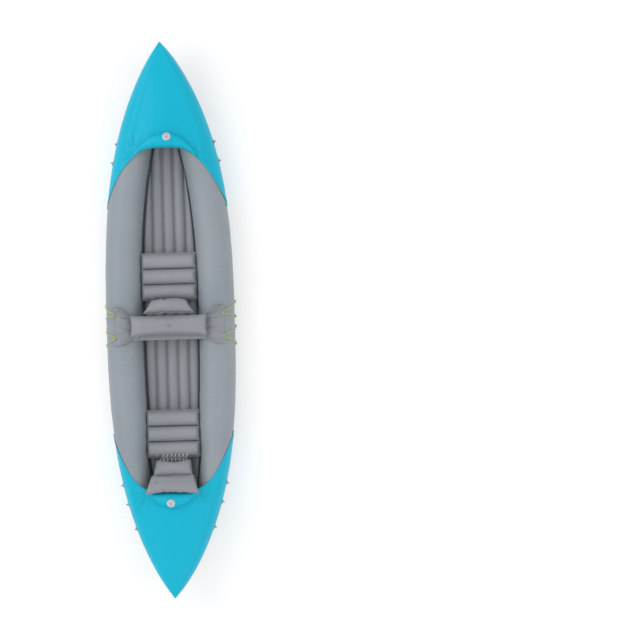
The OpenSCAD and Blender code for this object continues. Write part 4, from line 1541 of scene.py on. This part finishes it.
class KAYAK_OT_rear_backrest(bpy.types.Operator):
    """Builds the rear backrest's two chambers, the web between them and its skirt"""

    bl_idname = "kayak.rear_backrest"
    bl_label = "Rear backrest"

    lower = ((-0.848, 0.192, 0.021, 0.2), (-0.893, 0.217, 0.029, 0.224))
    upper = ((-0.935, 0.26, 0.024, 0.24), (-0.997, 0.304, 0.021, 0.306))
    skirt_half = 0.09
    skirt_y = -0.826
    skirt_top = 0.172
    skirt_low = 0.0808
    thickness = 0.0012
    web_start = Vector((0, -0.902, 0.2225))
    web_end = Vector((0, -0.930, 0.2545))
    web_half = 0.103
    web_spread = 0.006   # how much wider each half is at the upper chamber
    lace_turns = 7
    lace_start = -0.082
    lace_width = 0.08
    lace_slant = 0.012
    lace_diameter = 0.002

    def execute(self, context):
        chamber("Rear_backrest_base", "rear_backrest_lower", *self.lower, "rear_backrest")
        top = chamber("Rear_backrest_top", "rear_backrest_upper", *self.upper, "rear_backrest")
        self.dent(top)
        self.web()
        self.skirt()
        self.lashing()
        return {"FINISHED"}

    def dent(self, piece):
        """Draws the chamber in round its stem, so that the open plug clears it."""
        low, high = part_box("rear_backrest_stem")
        middle = (Vector(low) + Vector(high)) / 2
        a, b = (Vector((0, *row[:2])) for row in self.upper)
        inward = (b - a).cross(Vector((1, 0, 0))).normalized()
        if inward.z > 0:
            inward = -inward
        for vertex in piece.data.vertices:
            near = 1 - ramp((vertex.co - middle).length, 0.022, 0.042)
            vertex.co += inward * 0.0035 * near
        piece.data.update()

    def web(self):
        """The flat weld that joins the two chambers."""
        rows = []
        for i in range(9):
            p = self.web_start.lerp(self.web_end, i / 8)
            half = self.web_half + self.web_spread * i / 8
            rows.append([(half * (k / 30 - 1), p.y, p.z + 0.0006 * ripple(k * 0.6, i * 0.4, 8))
                         for k in range(61)])
        piece, area = thin_sheet("Backrest_web", rows, seat_vinyl(), self.thickness)
        settle(piece, "rear_backrest", "seat_grey")

    def skirt(self):
        """The strip of skin that holds the backrest to the floor."""
        rows = []
        for i in range(25):
            z = self.skirt_low + (self.skirt_top - self.skirt_low) * i / 24
            rows.append([
                (self.skirt_half * s,
                 self.skirt_y + 0.0022 * ripple(s * 3.2, z * 20, 4) * (1 - (2 * i / 24 - 1) ** 2),
                 z)
                for s in (k / 30 - 1 for k in range(61))])
        piece, area = thin_sheet("Backrest_skirt", rows, seat_vinyl(), self.thickness, (0, 1, 0))
        settle(piece, "hull", "seat_grey", "rear_backrest_skirt")

    def lashing(self):
        """The lace that zigzags from the rear cushion to the top of the skirt."""
        points = []
        for k in range(2 * self.lace_turns + 1):
            x = self.lace_start + self.lace_width * k / self.lace_turns
            x += self.lace_slant if k % 2 else 0
            if k % 2:
                points += [Vector((x, -0.7965, 0.1676)), Vector((x + 0.003, -0.7955, 0.1673))]
            else:
                points += [Vector((x, self.skirt_y + 0.003, self.skirt_top + 0.003)),
                           Vector((x + 0.002, self.skirt_y - 0.003, self.skirt_top + 0.0034))]
        path = smooth_path(points, 6)
        lace = tube_along("Skirt_lace", path, self.lace_diameter / 2, white_lace(), 8)
        settle(lace, "hull", "pale_plastic")


# ---- Fittings and valves --------------------------------------------------


def geometry_tree(name, ins):
    """An empty geometry tree: (tree, input sockets, output node)."""
    tree = bpy.data.node_groups.new(name, "GeometryNodeTree")
    face = tree.interface
    face.new_socket("Geometry", in_out="INPUT", socket_type="NodeSocketGeometry")
    for label, kind in ins:
        face.new_socket(label, in_out="INPUT", socket_type=kind)
    face.new_socket("Geometry", in_out="OUTPUT", socket_type="NodeSocketGeometry")
    t = Tree(tree)
    return t, t.add("NodeGroupInput").outputs, t.add("NodeGroupOutput")


def placed_parts():
    """The tree that sets a part on every point, turned as the point says."""
    name = "Set parts on points"
    found = bpy.data.node_groups.get(name)
    if found:
        return found
    t, ins, end = geometry_tree(name, [("Part", "NodeSocketObject"), ("Size", FLOAT),
                                       ("Material", "NodeSocketMaterial")])
    part = t.add("GeometryNodeObjectInfo", {"Object": ins["Part"], "As Instance": True})
    turn = t.add("GeometryNodeInputNamedAttribute", {"Name": "turn"}, data_type="FLOAT_VECTOR")
    spin = t.add("FunctionNodeEulerToRotation", {"Euler": turn.outputs["Attribute"]})
    on = t.add("GeometryNodeInstanceOnPoints", {
        "Points": ins["Geometry"], "Instance": part.outputs["Geometry"],
        "Rotation": spin.outputs["Rotation"], "Scale": ins["Size"]})
    real = t.add("GeometryNodeRealizeInstances", {"Geometry": on.outputs["Instances"]})
    paint = t.add("GeometryNodeSetMaterial", {"Geometry": real.outputs["Geometry"],
                                              "Material": ins["Material"]})
    t.put(paint.outputs["Geometry"], end.inputs["Geometry"])
    return t.tree


def ribbed_rim():
    """The tree that sets grip ribs round a screw cap."""
    name = "Grip ribs"
    found = bpy.data.node_groups.get(name)
    if found:
        return found
    t, ins, end = geometry_tree(name, [
        ("Ribs", "NodeSocketInt"), ("Radius", FLOAT), ("Rib radius", FLOAT),
        ("Rib height", FLOAT), ("Middle", FLOAT), ("Material", "NodeSocketMaterial")])
    ring = t.add("GeometryNodeMeshCircle", {"Vertices": ins["Ribs"], "Radius": ins["Radius"]})
    rib = t.add("GeometryNodeMeshCylinder", {"Vertices": 8, "Radius": ins["Rib radius"],
                                             "Depth": ins["Rib height"]})
    on = t.add("GeometryNodeInstanceOnPoints", {"Points": ring.outputs["Mesh"],
                                                "Instance": rib.outputs["Mesh"]})
    lift = t.add("ShaderNodeCombineXYZ", {"Z": ins["Middle"]})
    up = t.add("GeometryNodeTranslateInstances", {"Instances": on.outputs["Instances"],
                                                  "Translation": lift.outputs["Vector"]})
    real = t.add("GeometryNodeRealizeInstances", {"Geometry": up.outputs["Instances"]})
    both = t.add("GeometryNodeJoinGeometry")
    t.put(ins["Geometry"], both.inputs[0])
    t.put(real.outputs["Geometry"], both.inputs[0])
    paint = t.add("GeometryNodeSetMaterial", {"Geometry": both.outputs["Geometry"],
                                              "Material": ins["Material"]})
    t.put(paint.outputs["Geometry"], end.inputs["Geometry"])
    return t.tree


def grown_from(piece, tree, **values):
    """Runs a geometry tree on a piece and keeps the result as its plain mesh."""
    nodes = piece.modifiers.new(tree.name, "NODES")
    nodes.node_group = tree
    named = {s.name: s.identifier for s in tree.interface.items_tree if s.in_out == "INPUT"}
    for label, value in values.items():
        nodes[named[label.replace("_", " ")]] = value
    depsgraph = bpy.context.evaluated_depsgraph_get()
    mesh = bpy.data.meshes.new_from_object(piece.evaluated_get(depsgraph))
    piece.modifiers.remove(nodes)
    piece.data = mesh
    mesh.name = piece.name
    return piece


def set_on_points(name, part, places, material):
    """One mesh with a copy of part at each (point, turn)."""
    mesh = bpy.data.meshes.new(name)
    mesh.from_pydata([point for point, _ in places], [], [])
    turns = mesh.attributes.new("turn", "FLOAT_VECTOR", "POINT")
    for entry, (_, turn) in zip(turns.data, places):
        entry.vector = turn
    piece = linked(name, mesh)
    grown_from(piece, placed_parts(), Part=part, Size=1.0, Material=material)
    bpy.data.objects.remove(part, do_unlink=True)
    shade_smooth(piece.data)
    return piece


class KAYAK_OT_fittings(bpy.types.Operator):
    """Sets the lacing posts and the rope eyelets on the hull"""

    bl_idname = "kayak.fittings"
    bl_label = "Posts and eyelets"

    flap_posts = (0.037, -0.099)
    flank_posts = (0.1, 0.012, -0.045, -0.148)
    eyelets = (1.047, 0.936, -0.971, -1.082, -1.228)

    def execute(self, context):
        hull = Hull()
        posts = []
        for side in (1, -1):
            for ys, angle, lift in ((self.flap_posts, 65, 0.0038), (self.flank_posts, -20, 0.0005)):
                for y in ys:
                    x, _, z = hull.tube_point(y, angle, lift)
                    posts.append(((side * x, y, z), (0, math.radians(side * (90 - angle)), 0)))
        piece = set_on_points("Lacing_posts", self.post(), posts, dark_plastic())
        settle(piece, "hull", "eyelet_grey", "lacing_buttons")
        places = []
        for side in (1, -1):
            for y in self.eyelets:
                x, _, z = hull.tube_point(y, 0, 0.0035)
                turn = math.atan2(hull.half_beam(y - 0.005) - hull.half_beam(y + 0.005), 0.01)
                spin = turn if side > 0 else math.pi - turn
                places.append(((side * x, y, z), (0, 0, spin)))
        piece = set_on_points("Rope_eyelets", self.eyelet(), places, dark_plastic())
        settle(piece, "hull", "eyelet_grey", "rope_eyelets")
        return {"FINISHED"}

    def post(self):
        """A lacing post: foot, neck and a wider head."""
        head = sizes("trim").post_radius
        neck = 0.0046
        profile = [(0.0001, 0), (head + 0.001, 0), (head + 0.0011, 0.0005),
                   (head + 0.0004, 0.001), (neck + 0.0008, 0.0012), (neck, 0.0022),
                   (neck, 0.0078), (neck + 0.001, 0.0088), (head - 0.0004, 0.0091),
                   (head, 0.0098), (head - 0.0006, 0.0107), (head * 0.55, 0.0112),
                   (head * 0.45, 0.0108), (0.0001, 0.0106)]
        return lathe("post", profile, 32, dark_plastic())

    def eyelet(self):
        """An oval foot with a moulded loop; the bore runs along Y."""
        bore = sizes("trim").eyelet_bore / 2
        thick, reach = 0.0035, 0.0065
        half_long, half_high = 0.015, 0.011
        foot = []
        for scale, lift in ((0.001, 0.0002), (1.0, 0.0002), (1.02, 0.0009), (0.97, 0.0019),
                            (0.9, 0.0022), (0.001, 0.0024)):
            foot.append([
                (lift, half_long * scale * squared(math.cos(a), 0.6),
                 half_high * scale * squared(math.sin(a), 0.6))
                for a in (2 * math.pi * k / 40 for k in range(40))])
        base = loft("foot", foot, dark_plastic())
        points, count, sides = [], 36, 12
        middle = bore + thick / 2
        for k in range(count):
            a = 2 * math.pi * k / count
            for m in range(sides):
                b = 2 * math.pi * m / sides
                radius = middle + thick / 2 * math.cos(b)
                points.append((max(reach + radius * math.cos(a), 0.0006),
                               0.004 * squared(math.sin(b), 0.7), radius * math.sin(a)))
        faces = [tuple(i % len(points) for i in face)
                 for face in ring_faces(count + 1, sides)]
        loop = tidy_mesh(new_piece("loop", points, faces, dark_plastic()), 0.000001)
        return joined("eyelet", [base, loop])


class KAYAK_OT_valves(bpy.types.Operator):
    """Makes the ribbed screw caps and finishes the valves' other parts"""

    bl_idname = "kayak.valves"
    bl_label = "Valves"

    def execute(self, context):
        joints = {j["name"]: j for j in frame["joints"]}
        for name in ("bow", "stern", "starboard", "port", "floor"):
            joint = joints[name + "_cap_turn"]
            self.cap(name, Vector(joint["pos_m"]), Vector(joint["axis"]))
        self.finish_frame()
        return {"FINISHED"}

    def cap(self, name, place, axis):
        trim = sizes("trim")
        radius = trim.cap_diameter / 2 - 0.0007
        bore = 0.0151
        low, under, top = 0.0019, 0.0085, 0.0114
        profile = [(0.0001, under), (bore, under), (bore, low), (radius - 0.0006, low),
                   (radius, low + 0.0006), (radius, top - 0.0012), (radius - 0.0012, top),
                   (radius - 0.0036, top), (radius - 0.0044, top - 0.0004),
                   (radius - 0.005, top - 0.0016), (0.0001, top - 0.0019)]
        cap = lathe(name + "_cap", profile, 64, pale_plastic())
        grown_from(cap, ribbed_rim(), Ribs=trim.cap_ribs, Radius=radius,
                   Rib_radius=0.0007, Rib_height=top - low - 0.0026,
                   Middle=(top + low) / 2, Material=pale_plastic())
        turn = axis.to_track_quat("Z", "Y").to_matrix().to_4x4()
        cap.data.transform(Matrix.Translation(place) @ turn)
        settle(cap, name + "_cap", "pale_plastic", name + "_valve_cap")
        disc = lathe(name + "_cap_pad", [(0.0001, top - 0.0021), (radius - 0.0062, top - 0.0021),
                                         (radius - 0.0058, top - 0.0016),
                                         (radius - 0.0066, top - 0.0011),
                                         (0.0001, top - 0.0009)], 48, cap_centre())
        grip = self.bar(name + "_cap_bar", radius - 0.005, top)
        for piece, material_slot in ((disc, "valve_rubber"), (grip, "pale_plastic")):
            piece.data.transform(Matrix.Translation(place) @ turn)
            settle(piece, name + "_cap", material_slot)

    def bar(self, name, reach, top):
        """The rounded bar across the cap that it is turned by."""
        rings = []
        for i in range(25):
            s = math.sin(math.pi / 2 * (i / 12 - 1))   # closer rings at both ends
            full = math.sqrt(max(0.0, 1 - abs(s) ** 6))
            half, rise = 0.0019 * (0.3 + 0.7 * full), 0.0021 * full + 0.0002
            rings.append([
                (reach * s, half * squared(math.cos(a), 0.5),
                 top - 0.0014 + rise * (0.5 + 0.5 * math.sin(a)))
                for a in (2 * math.pi * k / 20 for k in range(20))])
        return loft(name, rings, pale_plastic())

    def finish_frame(self):
        """Gives each CAD node that still shows its material."""
        for node, piece in frame["nodes"].items():
            if node.endswith(("_valve_flap", "_valve_seal")):
                material = seal_rubber()
            elif node.endswith("_valve_base"):
                material = pale_plastic()
            elif node.endswith(("_stem", "_plug")):
                material = stem_plastic()
            elif node == "floor_beams":
                material = seat_vinyl()
            else:
                continue
            piece.data.materials.clear()
            piece.data.materials.append(material)


# ---- Panel and registration -----------------------------------------------


class KAYAK_PT_panel(bpy.types.Panel):
    """The kayak's sizes, colours and building steps"""

    bl_idname = "KAYAK_PT_panel"
    bl_label = "Inflatable kayak"
    bl_space_type = "VIEW_3D"
    bl_region_type = "UI"
    bl_category = "Kayak"

    def draw(self, context):
        for kind in PROPERTIES:
            box = self.layout.box()
            box.label(text=kind.capitalize())
            group = sizes(kind)
            for name in group.__annotations__:
                box.prop(group, name)
        for operator in OPERATORS:
            self.layout.operator(operator.bl_idname)


PROPERTIES = {"hull": KayakHullSizes, "cover": KayakCoverSizes, "trim": KayakTrimSizes,
              "colours": KayakColours}
OPERATORS = (
    KAYAK_OT_stage, KAYAK_OT_cords, KAYAK_OT_tubes, KAYAK_OT_floor, KAYAK_OT_covers,
    KAYAK_OT_cushions, KAYAK_OT_front_backrest, KAYAK_OT_rear_backrest, KAYAK_OT_fittings,
    KAYAK_OT_valves,
)


def register():
    for kind, group in PROPERTIES.items():
        bpy.utils.register_class(group)
        setattr(bpy.types.Scene, "kayak_" + kind, PointerProperty(type=group))
    for item in (*OPERATORS, KAYAK_PT_panel):
        bpy.utils.register_class(item)


def unregister():
    for item in reversed((*OPERATORS, KAYAK_PT_panel)):
        bpy.utils.unregister_class(item)
    for kind, group in reversed(PROPERTIES.items()):
        delattr(bpy.types.Scene, "kayak_" + kind)
        bpy.utils.unregister_class(group)


def main():
    register()
    for operator in OPERATORS:
        family, step = operator.bl_idname.split(".")
        getattr(getattr(bpy.ops, family), step)()


if __name__ == "__main__":
    main()
